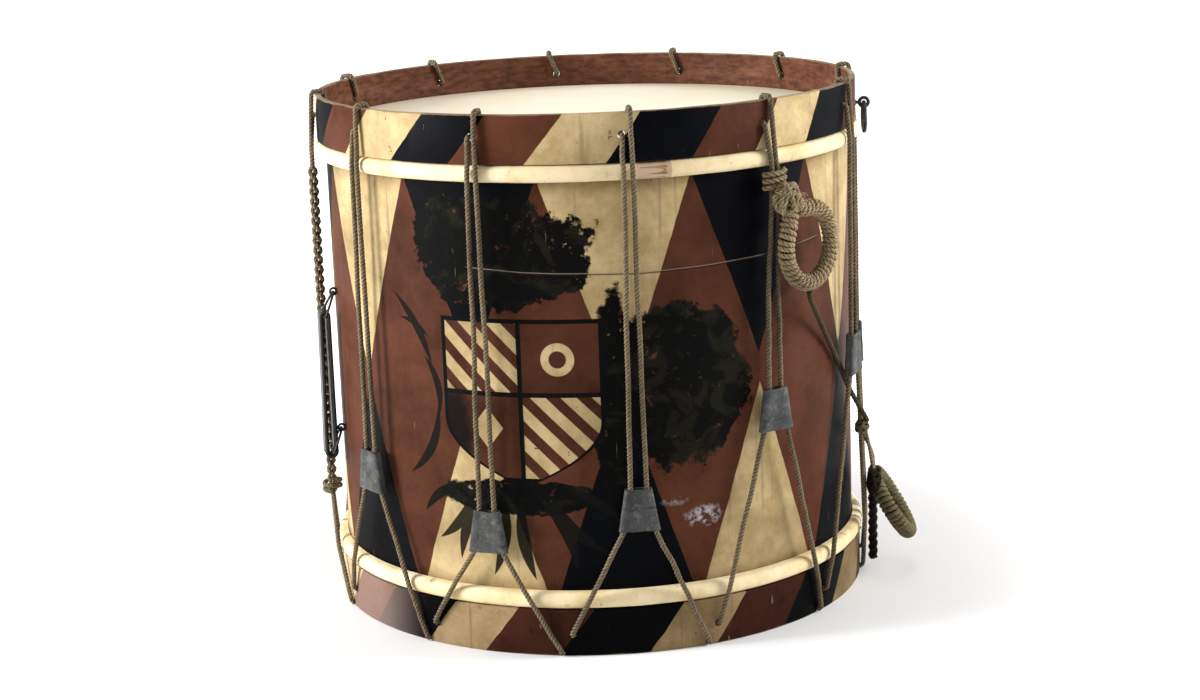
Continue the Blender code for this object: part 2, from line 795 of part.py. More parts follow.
def make_grip(name, matrix, opens_at, leads, hemp):
    winding = (GRIP_LIMB - SLING) / 2
    core = winding * math.cos(math.pi / CURL_POINTS) - SLING / 2 - SEAT
    ring = grip_points(matrix, opens_at, 0.0, 0, 16)
    first, last = [
        smooth_route([end] + round_axis(lead), 2)[1:] for end, lead in zip((ring[0], ring[-1]), leads)
    ]
    tube(f"{name}_core", first[::-1] + ring + last, core, hemp)
    points = grip_points(matrix, opens_at, winding, GRIP_TURNS, GRIP_TURNS * CURL_POINTS)
    print_self_gap(f"{name}_whipping", points, SLING)
    tube(f"{name}_whipping", points, SLING / 2, hemp)


def make_lashing(hemp):
    """One rope: turns round the two strands close under the roll, then round the front grip's two ends."""
    angle = position_angle(LASHED_POSITION)
    pitch = SLING + TWIST_GAP
    top = DRUM_HEIGHT - HOOP_HEIGHT - ROLL_HEIGHT - SEAT - SLING / 2
    half_width = TOP_SPREAD + ROPE_CLEARANCE + ROPE / 2 + SLING * 0.75
    half_depth = (ROPE + SLING) / 2 + ROPE_CLEARANCE
    turns = turns_round(
        beside(angle, ROPE_RUN, 0.0, top),
        frame_at(angle) @ Vector((0, 1, 0)), frame_at(angle) @ Vector((1, 0, 0)),
        Vector((0, 0, -pitch)), half_width, half_depth, LASHED_TURNS,
    )
    knot = turns_round(
        beside(KNOT_ANGLE, KNOT_RADIUS, 0.0, KNOT_TOP),
        frame_at(KNOT_ANGLE) @ Vector((0, 1, 0)), frame_at(KNOT_ANGLE) @ Vector((1, 0, 0)),
        Vector((0, 0, -pitch)), KNOT_HALF_WIDTH, KNOT_HALF_DEPTH, KNOT_TURNS, start=1,
    )
    print_self_gap("sling_lashing", turns + knot, SLING)
    tube("sling_lashing", turns + knot, SLING / 2, hemp)


def make_hitch(hemp):
    """The sling hitched round the strand that runs down from the third ear to the right."""
    upper = ear_strand(2, 1)[0]
    lower = bottom_bight(position_angle(2) + STEP_ANGLE / 2)[0]
    along = (upper - lower).normalized()
    centre = lower + along * (HITCH_HEIGHT - lower.z) / along.z
    outwards = Vector((centre.x, centre.y, 0.0)).normalized()
    across = along.cross(outwards).normalized()
    deep = across.cross(along).normalized()
    reach = (ROPE + SLING) / 2 + ROPE_CLEARANCE
    pitch = SLING + TWIST_GAP
    points = turns_round(
        centre + along * pitch * HITCH_TURNS / 2, across, deep, -along * pitch, reach, reach, HITCH_TURNS,
    )
    print_self_gap("sling_hitch", points, SLING)
    tube("sling_hitch", points, SLING / 2, hemp)


def make_sling(hemp, dark_hemp):
    make_lashing(hemp)
    make_grip("front_grip", grip_matrix_front(), FRONT_GRIP_OPENS_AT, FRONT_LEADS, hemp)
    make_grip("side_grip", grip_matrix_side(), SIDE_GRIP_OPENS_AT, SIDE_LEADS, hemp)
    make_hitch(hemp)
    tube("sling_run", smooth_route(round_axis(SLING_RUN), 2), SLING / 2, hemp, sides_level=2)
    tube("sling_tail", smooth_route(round_axis(SLING_TAIL), 2), TAIL_RADIUS, dark_hemp, sides_level=2)


def main():
    clear_scene()
    painted_shell = finish("painted_shell", (0.30, 0.09, 0.05), 0.55)
    painted_hoop = finish("painted_hoop", (0.22, 0.07, 0.05), 0.5)
    bare_wood = finish("bare_wood", (0.55, 0.38, 0.22), 0.7)
    vellum = finish("vellum", (0.78, 0.66, 0.45), 0.5)
    hemp = finish("hemp_rope", (0.32, 0.26, 0.18), 0.9)
    dark_hemp = finish("dark_hemp", (0.05, 0.045, 0.04), 0.9)
    grey_leather = finish("grey_leather", (0.36, 0.36, 0.33), 0.7)
    black_leather = finish("black_leather", (0.02, 0.02, 0.02), 0.4)
    iron = finish("iron", (0.04, 0.04, 0.045), 0.45, 1.0)
    gut = finish("gut", (0.6, 0.5, 0.32), 0.5)
    make_shell(painted_shell)
    make_stiffeners(bare_wood)
    make_heads(vellum, bare_wood)
    make_counter_hoops(painted_hoop)
    make_tension_rope(hemp)
    make_splice(hemp)
    make_ears(grey_leather)
    make_carrying_ring(iron)
    make_links(iron)
    make_strap(black_leather)
    make_snare(gut)
    make_sling(hemp, dark_hemp)


main()
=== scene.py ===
"""Rope-tensioned military side drum: painted shell and hoops, calfskin heads, laid hemp lacing,
leather ears and a drag rope."""

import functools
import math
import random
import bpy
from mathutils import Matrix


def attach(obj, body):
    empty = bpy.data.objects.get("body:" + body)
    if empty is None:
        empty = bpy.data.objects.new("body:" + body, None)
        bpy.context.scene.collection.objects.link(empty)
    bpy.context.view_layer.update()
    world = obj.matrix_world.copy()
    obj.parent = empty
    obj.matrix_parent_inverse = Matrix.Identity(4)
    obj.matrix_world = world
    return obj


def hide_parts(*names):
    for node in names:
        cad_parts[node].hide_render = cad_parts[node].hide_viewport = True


bl_info = {
    "name": "Military side drum",
    "version": (1, 0, 0),
    "blender": (4, 5, 0),
    "location": "View3D > Sidebar > Drum",
    "description": "Builds the painted, rope-tensioned side drum piece by piece on its CAD frame",
    "category": "Object",
}

import bmesh
import bpy
from bpy.props import FloatProperty, FloatVectorProperty, IntProperty, PointerProperty
from mathutils import Matrix, Vector, noise

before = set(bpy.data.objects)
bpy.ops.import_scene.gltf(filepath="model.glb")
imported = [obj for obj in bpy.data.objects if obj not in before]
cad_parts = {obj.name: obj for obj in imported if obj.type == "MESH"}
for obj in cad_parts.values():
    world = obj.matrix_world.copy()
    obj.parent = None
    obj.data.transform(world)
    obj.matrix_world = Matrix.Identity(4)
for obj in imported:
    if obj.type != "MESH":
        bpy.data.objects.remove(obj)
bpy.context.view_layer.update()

# The drum's own sizes, in metres and degrees: the same values as the CAD source
HEIGHT = 0.408
SHELL_IN, SHELL_OUT = 0.204, 0.209
SHELL_LOW, SHELL_TOP = 0.0281, 0.3799
HOOP_IN, HOOP_OUT, HOOP_HEIGHT = 0.2104, 0.2154, 0.0366
ROLL_HEIGHT, ROLL_OUT, ROLL_BULGE = 0.0133, 0.2178, 0.0062
HEAD_LEVEL, SKIN = 0.381, 0.0008
ROPE, ROPE_RUN = 0.0040, 0.2204
ROPE_INSIDE, ROPE_OUTSIDE = 0.2078, 0.2180
HOLE_INSET, BEND = 0.0165, 0.0020
POSITIONS = [7.5 + 30.0 * index for index in range(12)]
KNOTTED_PAIR, HITCHED_PAIR, TWISTED_PAIR = 1, 2, 9
EAR_FEET = (0.098, 0.160, 0.180, 0.165, 0.140, 0.120, 0.105, 0.115, 0.130, None, 0.1125, 0.081)
EAR_HEIGHT, EAR_LEATHER = 0.032, 0.0014
TOP_SPREAD, BOTTOM_SPREAD = 0.0030, 0.0045
EAR_TOP_SPREAD, EAR_FOOT_SPREAD = 0.0060, 0.0115
CARRY_ANGLE, CARRY_DROP, CARRY_REACH = 88.0, 0.0247, 0.0076
CARRY_LOOP, CARRY_WIRE = 0.0036, 0.0014
RING_RADIUS, RING_WIRE = 0.0115, 0.0017
HANDLE_ANGLE, HANDLE_REACH = -76.0, 0.0030
EYE_HEIGHTS = {"upper": 0.2533, "lower": 0.1417}
EYE_LOOP, EYE_WIRE = 0.0026, 0.0010
LINK_WIRE, LINK_LENGTH, LINK_LEAN = 0.0010, 0.0200, math.radians(25.5)
SLING, GRIP_HALF = 0.0044, 0.00675
GAP = 0.0003
DEGREE = SHELL_OUT * math.pi / 180.0  # one degree along the wall


class DrumSizes(bpy.types.PropertyGroup):
    """Sizes that a user may change"""

    facets: IntProperty(
        name="Facets", description="Steps round the shell and the hoops",
        default=240, min=48, max=480, subtype="UNSIGNED",
    )
    lay: FloatProperty(
        name="Rope lay", description="Length of one turn of the rope's strands",
        default=0.0088, subtype="DISTANCE",
    )
    sling_lay: FloatProperty(
        name="Sling lay", description="Length of one turn of the sling's strands",
        default=0.012, subtype="DISTANCE",
    )
    strand_depth: FloatProperty(
        name="Strand depth",
        description="Depth of the grooves between strands, as a share of the radius",
        default=0.20, subtype="FACTOR",
    )
    whipping: FloatProperty(
        name="Whipping cord", description="Thickness of the cord wound round the grips",
        default=0.0041, subtype="DISTANCE",
    )
    whipping_pitch: FloatProperty(
        name="Whipping pitch", description="Distance between turns along each grip",
        default=0.0043, subtype="DISTANCE",
    )


class DrumColours(bpy.types.PropertyGroup):
    """Colours that a user may change"""

    cream: FloatVectorProperty(
        name="Cream paint", description="Pale flames and stripes",
        subtype="COLOR", default=(0.62, 0.485, 0.255),
    )
    red: FloatVectorProperty(
        name="Red-brown paint", description="Lozenges between the flames",
        subtype="COLOR", default=(0.079, 0.0275, 0.0152),
    )
    dark: FloatVectorProperty(
        name="Blue-black paint", description="Dark flames and stripes",
        subtype="COLOR", default=(0.0009, 0.0011, 0.0022),
    )
    skin: FloatVectorProperty(
        name="Calfskin", description="Heads and their rolled edges",
        subtype="COLOR", default=(0.88, 0.73, 0.46),
    )
    hemp: FloatVectorProperty(
        name="Hemp", description="Lacing and sling rope",
        subtype="COLOR", default=(0.220, 0.170, 0.106),
    )
    ear: FloatVectorProperty(
        name="Grey leather", description="Tension ears",
        subtype="COLOR", default=(0.060, 0.062, 0.060),
    )


class StageSettings(bpy.types.PropertyGroup):
    """Where the camera stands"""

    distance: FloatProperty(
        name="Camera distance", description="From the drum's axis to the camera",
        default=1.853, subtype="DISTANCE",
    )
    height: FloatProperty(
        name="Camera height", description="Above the floor", default=0.611, subtype="DISTANCE",
    )
    pitch: FloatProperty(
        name="Pitch", description="Downward tilt", default=0.2256, subtype="ANGLE",
    )
    yaw: FloatProperty(
        name="Yaw", description="Turn about the vertical", default=0.0025, subtype="ANGLE",
    )
    roll: FloatProperty(
        name="Roll", description="Lean of the photograph's frame", default=0.036, subtype="ANGLE",
    )
    focal_pixels: FloatProperty(
        name="Focal length", description="In pixels of a 1200 px wide frame",
        default=2310.0, subtype="PIXEL",
    )


def sizes():
    return bpy.context.scene.drum_sizes


def colours():
    return bpy.context.scene.drum_colours


# Places on the drum


def around(angle):
    """Local X out along the radius, local Y along the wall, Z up."""
    return Matrix.Rotation(math.radians(angle - 90.0), 4, "Z")


def beside(angle, radius, offset, height):
    return around(angle) @ Vector((radius, offset, height))


def at(x, y, z):
    return Matrix.Translation((x, y, z))


def bearings(angle):
    """Along the wall, outwards and up."""
    turn = around(angle)
    return turn @ Vector((0, 1, 0)), turn @ Vector((1, 0, 0)), Vector((0, 0, 1))


def smooth_route(points, steps):
    """A curve through every point."""
    made = []
    for i in range(len(points) - 1):
        p0, p1, p2 = points[max(i - 1, 0)], points[i], points[i + 1]
        p3 = points[min(i + 2, len(points) - 1)]
        for step in range(steps):
            t = step / steps
            made.append(0.5 * (
                2 * p1 + (p2 - p0) * t + (2 * p0 - 5 * p1 + 4 * p2 - p3) * t**2
                + (3 * p1 - p0 - 3 * p2 + p3) * t**3
            ))
    return made + [points[-1]]


def route_length(points):
    return sum((b - a).length for a, b in zip(points, points[1:]))


# Shader arithmetic


def both_ways(operation):
    """An operator's plain and reflected forms."""
    return (
        lambda one, other: one.nodes.math(operation, one, other),
        lambda one, other: one.nodes.math(operation, other, one),
    )


class Value:
    """A number or colour on its way through a material, with ordinary arithmetic."""

    __add__, __radd__ = both_ways("ADD")
    __sub__, __rsub__ = both_ways("SUBTRACT")
    __mul__, __rmul__ = both_ways("MULTIPLY")
    __truediv__, __rtruediv__ = both_ways("DIVIDE")
    __pow__, __rpow__ = both_ways("POWER")

    def __init__(self, nodes, socket):
        self.nodes, self.socket = nodes, socket

    def __neg__(self):
        return self * -1.0

    def __abs__(self):
        return self.nodes.math("ABSOLUTE", self)


class Finish:
    """A material under construction: one Principled shader and the nodes that feed it."""

    def __init__(self, name, roughness=0.5, metallic=0.0, specular=0.5):
        self.material = bpy.data.materials.new(name)
        self.material.use_nodes = True
        self.tree = self.material.node_tree
        self.shader = self.tree.nodes["Principled BSDF"]
        self.shader.inputs["Roughness"].default_value = roughness
        self.shader.inputs["Metallic"].default_value = metallic
        self.shader.inputs["Specular IOR Level"].default_value = specular

    @functools.cached_property
    def place(self):
        return self.node("ShaderNodeTexCoord", output="Object")

    @functools.cached_property
    def axes(self):
        split = self.node("ShaderNodeSeparateXYZ", {0: self.place}).socket.node
        return [Value(self, out) for out in split.outputs]

    @functools.cached_property
    def radius(self):
        x, y, z = self.axes
        return (x * x + y * y) ** 0.5

    @functools.cached_property
    def angle(self):
        """Degrees round the drum from its front towards the right."""
        x, y, z = self.axes
        return self.math("ARCTAN2", x, -y) * math.degrees(1.0)

    def node(self, kind, inputs=None, output=0, ramp=None, **settings):
        """Settings first, then a ramp's stops in shades of grey, then the sockets."""
        made = self.tree.nodes.new(kind)
        for key, value in settings.items():
            setattr(made, key, value)
        if ramp:
            made.color_ramp.interpolation = "CONSTANT"
            stops = made.color_ramp.elements
            while len(stops) < len(ramp):
                stops.new(1.0)
            for stop, (place, grey) in zip(stops, ramp):
                stop.position = place
                stop.color = (grey, grey, grey, 1.0)
        for key, value in (inputs or {}).items():
            self.feed(made.inputs[key], value)
        return Value(self, made.outputs[output])

    def feed(self, socket, value):
        if isinstance(value, Value):
            self.tree.links.new(value.socket, socket)
        elif socket.type == "RGBA" and len(value) == 3:
            socket.default_value = (*value, 1.0)
        else:
            socket.default_value = value

    def math(self, operation, a, b=0.0):
        return self.node("ShaderNodeMath", {0: a, 1: b}, operation=operation)

    def low(self, *values):
        return functools.reduce(functools.partial(self.math, "MINIMUM"), values)

    def high(self, *values):
        return functools.reduce(functools.partial(self.math, "MAXIMUM"), values)

    def rise(self, value, start, end):
        """0 before start and 1 past end, smooth between."""
        return self.node(
            "ShaderNodeMapRange", {"Value": value, "From Min": start, "From Max": end},
            interpolation_type="SMOOTHSTEP",
        )

    def span(self, value, start, full, fade, end):
        """1 from full to fade, and 0 before start and past end."""
        return self.rise(value, start, full) * (1.0 - self.rise(value, fade, end))

    def mix(self, share, a, b, blend="MIX"):
        return self.node(
            "ShaderNodeMix", {0: share, 6: a, 7: b}, output=2, data_type="RGBA", blend_type=blend,
        )

    def vector(self, x, y, z):
        return self.node("ShaderNodeCombineXYZ", {0: x, 1: y, 2: z})

    def noise(self, scale, detail, roughness, where=None, distortion=0.0):
        return self.node("ShaderNodeTexNoise", {
            "Vector": where or self.place, "Scale": scale, "Detail": detail,
            "Roughness": roughness, "Distortion": distortion,
        })

    def patches(self, scale, detail, roughness, start, end):
        return self.rise(self.noise(scale, detail, roughness), start, end)

    def streaks(self, across, up, detail, roughness):
        """Noise drawn out along the wall or up it."""
        x, y, z = self.axes
        where = self.vector(x * across, y * across, z * up)
        return self.noise(1.0, detail, roughness, where)

    def bands(self, across, up, shift, detail, roughness):
        """Noise drawn out round the drum, by its angle."""
        where = self.vector(self.angle * across, self.axes[2] * up, shift)
        return self.noise(1.0, detail, roughness, where)

    def wobbled(self, value, amount, scale=60.0):
        return value + (self.noise(scale, 2.0, 0.5) - 0.5) * amount

    def crowns(self, strands):
        """The turn round a rope, and 1 on each strand's crown and 0 in the grooves."""
        turn = self.node("ShaderNodeAttribute", output="Fac", attribute_name="around")
        return turn, self.math("COSINE", turn * (math.tau * strands)) * 0.5 + 0.5

    def bump(self, height, strength, distance):
        self.feed(self.shader.inputs["Normal"], self.node(
            "ShaderNodeBump", {"Height": height, "Strength": strength, "Distance": distance},
        ))

    def done(self, colour, roughness=None):
        self.feed(self.shader.inputs["Base Color"], colour)
        if roughness is not None:
            self.feed(self.shader.inputs["Roughness"], roughness)
        return self.material


# Making and placing pieces


def shown(name, data):
    made = bpy.data.objects.new(name, data)
    bpy.context.scene.collection.objects.link(made)
    return made


def piece(name, mesh, body, nodes, finish=None, smooth=None):
    """Puts a mesh in view on its body, in place of the CAD nodes that it stands for."""
    made = shown(name, mesh)
    if finish:
        mesh.materials.clear()
        mesh.materials.append(finish_named(finish))
    if smooth is not None:
        mesh.shade_smooth()
        mesh.set_sharp_from_angle(angle=math.radians(smooth))
    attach(made, body)
    if nodes:
        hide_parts(*nodes)
    return made


def mesh_of(bm, name):
    bmesh.ops.recalc_face_normals(bm, faces=bm.faces)
    mesh = bpy.data.meshes.new(name)
    bm.to_mesh(mesh)
    bm.free()
    return mesh


def turned(name, profile, facets, shape=None):
    """A closed outline of (radius, height) turned round Z; shape may move each point."""
    bm = bmesh.new()
    rows = []
    for step in range(facets):
        angle = 360.0 * step / facets
        points = [shape(angle, r, z, i) if shape else (r, z) for i, (r, z) in enumerate(profile)]
        rows.append([
            None if r < 1e-9 else bm.verts.new(beside(angle, r, 0.0, z)) for r, z in points
        ])
    poles = {i: bm.verts.new((0.0, 0.0, profile[i][1])) for i, v in enumerate(rows[0]) if v is None}
    rows = [[poles.get(i, v) for i, v in enumerate(row)] for row in rows]
    for row, following in zip(rows, rows[1:] + rows[:1]):
        for i in range(len(profile)):
            j = (i + 1) % len(profile)
            if i in poles and j in poles:
                continue
            corner = [row[i], row[j], following[j], following[i]]
            bm.faces.new([v for k, v in enumerate(corner) if v not in corner[:k]])
    return mesh_of(bm, name)


def skinned(bm, rows):
    """Faces between rings of points that follow one another."""
    for low, high in zip(rows, rows[1:]):
        for i in range(len(low)):
            j = (i + 1) % len(low)
            bm.faces.new((low[i], low[j], high[j], high[i]))


def rod(bm, place, radius, far_radius, length):
    """A round bar along the place's local X."""
    bmesh.ops.create_cone(
        bm, cap_ends=True, segments=20, radius1=radius, radius2=far_radius, depth=length,
        matrix=place @ Matrix.Rotation(math.pi / 2, 4, "Y"),
    )


def upside_down(mesh, height):
    """The lower hoop and head are the upper ones turned over."""
    mesh.transform(at(0, 0, height) @ Matrix.Diagonal((1, 1, -1, 1)))
    mesh.flip_normals()


def with_modifiers(made):
    """The object's mesh with its modifiers in it; the object itself goes."""
    graph = bpy.context.evaluated_depsgraph_get()
    mesh = bpy.data.meshes.new_from_object(made.evaluated_get(graph))
    mesh.transform(made.matrix_world)
    bpy.data.objects.remove(made, do_unlink=True)
    return mesh


def polyline(name, points, closed):
    curve = bpy.data.curves.new(name, "CURVE")
    curve.dimensions = "3D"
    spline = curve.splines.new("POLY")
    spline.points.add(len(points) - 1)
    for slot, point in zip(spline.points, points):
        slot.co = (*point, 1.0)
    spline.use_cyclic_u = closed
    return shown(name, curve)


def rounded_wire(name, points, radius, closed=True, sides=4):
    """A smooth bar of round wire along the points, as a mesh."""
    made = polyline(name, points, closed)
    made.data.bevel_depth = radius
    made.data.bevel_resolution = sides
    made.data.use_fill_caps = True
    return with_modifiers(made)


def joined(name, meshes):
    bm = bmesh.new()
    for mesh in meshes:
        bm.from_mesh(mesh)
    made = bpy.data.meshes.new(name)
    bm.to_mesh(made)
    bm.free()
    return made


# Laid rope, as a Geometry Nodes tree


def rope_tree():
    """Twists a lobed section along a curve: one lobe for each strand of the rope."""
    tree = bpy.data.node_groups.new("laid_rope", "GeometryNodeTree")
    for name, kind in (
        ("Geometry", "Geometry"), ("Radius", "Float"), ("Lay", "Float"), ("Groove", "Float"),
        ("Step", "Float"), ("Strands", "Int"), ("Points", "Int"), ("Finish", "Material"),
    ):
        tree.interface.new_socket(name, in_out="INPUT", socket_type=f"NodeSocket{kind}")
    tree.interface.new_socket("Geometry", in_out="OUTPUT", socket_type="NodeSocketGeometry")
    given = tree.nodes.new("NodeGroupInput").outputs
    end = tree.nodes.new("NodeGroupOutput")

    def node(kind, inputs, output=0, **settings):
        made = tree.nodes.new(kind)
        for key, value in settings.items():
            setattr(made, key, value)
        for key, value in inputs.items():
            if isinstance(value, bpy.types.NodeSocket):
                tree.links.new(value, made.inputs[key])
            else:
                made.inputs[key].default_value = value
        return made.outputs[output]

    def math_node(operation, a, b=0.0):
        return node("ShaderNodeMath", {0: a, 1: b}, operation=operation)

    def stored(geometry, name, value):
        return node(
            "GeometryNodeStoreNamedAttribute",
            {"Geometry": geometry, "Name": name, "Value": value},
            data_type="FLOAT", domain="POINT",
        )

    line = node(
        "GeometryNodeResampleCurve", {"Curve": given["Geometry"], "Length": given["Step"]},
        mode="LENGTH",
    )
    along = node("GeometryNodeSplineParameter", {}, output="Length")
    line = stored(line, "along", along)
    tilt = math_node("MULTIPLY", math_node("DIVIDE", along, given["Lay"]), math.tau)
    line = node("GeometryNodeSetCurveTilt", {"Curve": line, "Tilt": tilt})
    section = node(
        "GeometryNodeCurvePrimitiveCircle",
        {"Resolution": given["Points"], "Radius": given["Radius"]}, mode="RADIUS",
    )
    share = node("GeometryNodeSplineParameter", {}, output="Factor")
    section = stored(section, "around", share)
    turn = math_node("MULTIPLY", math_node("MULTIPLY", share, given["Strands"]), math.tau)
    dip = math_node("SUBTRACT", 0.5, math_node("MULTIPLY", math_node("COSINE", turn), 0.5))
    grow = math_node("SUBTRACT", 1.0, math_node("MULTIPLY", dip, given["Groove"]))
    place = node("GeometryNodeInputPosition", {})
    lobed = node("ShaderNodeVectorMath", {0: place, "Scale": grow}, operation="SCALE")
    section = node("GeometryNodeSetPosition", {"Geometry": section, "Position": lobed})
    skin = node(
        "GeometryNodeCurveToMesh", {"Curve": line, "Profile Curve": section, "Fill Caps": True},
    )
    skin = node("GeometryNodeSetShadeSmooth", {0: skin})
    skin = node("GeometryNodeRealizeInstances", {0: skin})
    skin = node("GeometryNodeSetMaterial", {"Geometry": skin, "Material": given["Finish"]})
    tree.links.new(skin, end.inputs[0])
    return tree


def laid_rope(
    name, points, radius, lay, finish, closed=False, step=0.0012, strands=3, across=12, groove=None
):
    """A rope's mesh along the points, in the finish of that name."""
    tree = bpy.data.node_groups.get("laid_rope") or rope_tree()
    made = polyline(name, points, closed)
    modifier = made.modifiers.new("laid_rope", "NODES")
    modifier.node_group = tree
    values = {
        "Radius": radius, "Lay": lay, "Groove": groove or sizes().strand_depth, "Step": step,
        "Strands": strands, "Points": across, "Finish": finish_named(finish),
    }
    for item in tree.interface.items_tree:
        if item.in_out == "INPUT" and item.name in values:
            modifier[item.identifier] = values[item.name]
    return with_modifiers(made)


def rope_piece(name, points, radius, lay, finish, nodes, slot="hemp", **how):
    """A rope that rides on the drum."""
    mesh = laid_rope(name, points, radius, lay, finish, **how)
    return piece(name, mesh, "drum", nodes)


# Finishes


def tinted(colour, *factors):
    """A colour times one factor, or times one for each channel."""
    return [c * f for c, f in zip(colour, factors if len(factors) == 3 else factors * 3)]


def ageing(finish, colour):
    """Darkens paint with soft grime."""
    grime = finish.patches(9.0, 5.0, 0.62, 0.36, 0.76)
    colour = finish.mix(grime * 0.35, colour, (0.10, 0.065, 0.03), "MULTIPLY")
    fine = finish.patches(130.0, 3.0, 0.7, 0.35, 0.75)
    return finish.mix(fine * 0.16, colour, (0.25, 0.17, 0.09), "MULTIPLY")


def aged_cream(finish, fade=1.0):
    """Cream paint: yellowed, mottled, with drips and dark pinholes."""
    cream = tinted(colours().cream, fade)
    mottle = finish.patches(26.0, 6.0, 0.68, 0.30, 0.72)
    base = finish.mix(mottle, tinted(cream, 1.12, 1.10, 1.12), tinted(cream, 0.72, 0.66, 0.56))
    cloud = finish.patches(7.0, 4.0, 0.55, 0.48, 0.72)
    base = finish.mix(cloud * 0.55, base, (0.27, 0.195, 0.095))
    drip = finish.streaks(150.0, 9.0, 2.0, 0.5)
    base = finish.mix(finish.rise(drip, 0.62, 0.74) * 0.45, base, (0.22, 0.17, 0.09))
    pits = finish.patches(310.0, 2.0, 0.5, 0.70, 0.76)
    where = finish.patches(30.0, 2.0, 0.5, 0.50, 0.60)
    return finish.mix(pits * where * 0.85, base, (0.03, 0.025, 0.02))


def aged_red(finish, fade=1.0):
    red = tinted(colours().red, fade)
    mottle = finish.patches(18.0, 6.0, 0.66, 0.32, 0.74)
    base = finish.mix(mottle, tinted(red, 1.22), tinted(red, 0.70))
    warm = finish.patches(5.0, 3.0, 0.5, 0.50, 0.68)
    return finish.mix(warm * 0.45, base, tinted(red, 1.7, 1.55, 1.35))


def aged_dark(finish):
    cloud = finish.patches(11.0, 5.0, 0.6, 0.45, 0.75)
    base = finish.mix(cloud, colours().dark, (0.0024, 0.0030, 0.0044))
    rub = finish.patches(240.0, 3.0, 0.7, 0.62, 0.78)
    return finish.mix(rub * 0.06, base, (0.05, 0.045, 0.036))


def flames(finish, angle, apex, base, half_width, odd):
    """Triangles 60 degrees apart from their apex height to their base, on alternate twelfths."""
    cell = (angle - 5.0 - 30.0 * odd) / 60.0
    away = abs(cell - finish.math("ROUND", cell)) * 60.0
    wide = (finish.axes[2] - apex) * (half_width / (base - apex))
    return finish.rise(wide - away, -0.10, 0.10)


def blob(finish, angle, height, centre, radii, ragged, scale, edge):
    """A patch with a ragged edge, such as painted foliage."""
    u = (angle - centre[0]) / radii[0]
    v = (height - centre[1]) / radii[1]
    far = (u * u + v * v) ** 0.5 + (finish.noise(scale, 6.0, 0.68) - 0.5) * ragged
    return 1.0 - finish.rise(far, 1.0 - edge, 1.0 + edge)


def leaf(finish, start, end, bow, width):
    """A bowed, pointed leaf between two points of the wall, in degrees and metres."""
    ax, ay, bx, by = start[0] * DEGREE, start[1], end[0] * DEGREE, end[1]
    length = math.hypot(bx - ax, by - ay)
    ux, uy = (bx - ax) / length, (by - ay) / length
    px, py = finish.angle * DEGREE - ax, finish.axes[2] - ay
    share = (px * ux + py * uy) / length
    belly = share * (1.0 - share)
    side = py * ux - px * uy - belly * (4.0 * bow)
    half = finish.high(belly, 0.0) * (4.0 * width)
    return finish.rise(half - abs(side), 0.0, 0.0006)


# Centre, radii, raggedness, scale and softness of the edge, in degrees and metres
FOLIAGE = (
    ((-19.5, 0.306), (20.5, 0.042), 1.55, 19.0, 0.03),
    ((17.0, 0.203), (15.5, 0.060), 1.45, 17.0, 0.04),
    ((4.0, 0.196), (5.0, 0.080), 0.90, 24.0, 0.04),
    ((-16.5, 0.121), (17.0, 0.014), 0.95, 26.0, 0.04),
)
# Start, end, bow and width
LEAVES = (
    ((-46.0, 0.272), (-35.5, 0.215), 0.006, 0.0038),
    ((-38.0, 0.226), (-34.5, 0.178), 0.007, 0.0034),
    ((-34.5, 0.190), (-43.6, 0.130), 0.010, 0.0042),
    ((-44.5, 0.252), (-36.0, 0.238), 0.004, 0.0024),
    ((-29.0, 0.128), (-39.5, 0.102), -0.005, 0.0042),
    ((-26.5, 0.126), (-36.0, 0.083), 0.006, 0.0046),
    ((-24.0, 0.124), (-30.5, 0.068), -0.005, 0.0050),
    ((-20.0, 0.124), (-23.0, 0.058), 0.005, 0.0050),
    ((-16.0, 0.124), (-13.5, 0.056), -0.005, 0.0052),
    ((-13.0, 0.124), (-5.0, 0.064), 0.007, 0.0050),
    ((-10.0, 0.125), (1.5, 0.079), -0.007, 0.0048),
    ((-7.0, 0.127), (4.5, 0.100), 0.005, 0.0040),
)
SHIELD_ANGLE, SHIELD_HEIGHT = -15.5, 0.2000


def shield(finish):
    """A quartered field of bends, rings and lozenges, then its mask and its outline's."""
    u, v = (finish.angle - SHIELD_ANGLE) * DEGREE, finish.axes[2] - SHIELD_HEIGHT
    drop = finish.high(0.0, -v - 0.020)
    edge = finish.low(0.060 - drop * drop * 24.0 - abs(u), 0.054 - v, v + 0.064)
    cream, red = aged_cream(finish, 0.86), aged_red(finish, 0.85)
    side, upper = finish.rise(u, -0.0003, 0.0003), finish.rise(v, -0.0003, 0.0003)
    chequer = side + upper - side * upper * 2.0
    bars = finish.rise(finish.math("PINGPONG", (u + v) / 0.0115, 1.0), 0.44, 0.52)
    from_ring = ((abs(u) - 0.029) ** 2.0 + (v - 0.027) ** 2.0) ** 0.5
    ring = finish.span(from_ring, 0.0062, 0.0068, 0.0122, 0.0128)
    diamond = 1.0 - finish.rise(abs(abs(u) - 0.027) * 1.25 + abs(v + 0.026), 0.0155, 0.0160)
    plain = finish.mix(upper * ring + (1.0 - upper) * diamond, red, cream)
    inside = finish.mix(chequer, plain, finish.mix(bars, red, cream))
    rule = 1.0 - finish.rise(finish.low(abs(u), abs(v)), 0.0016, 0.0020)
    inside = finish.mix(rule, inside, (0.004, 0.0036, 0.0032))
    return inside, finish.rise(edge, 0.0, 0.0005), finish.rise(edge, -0.0034, -0.0028)


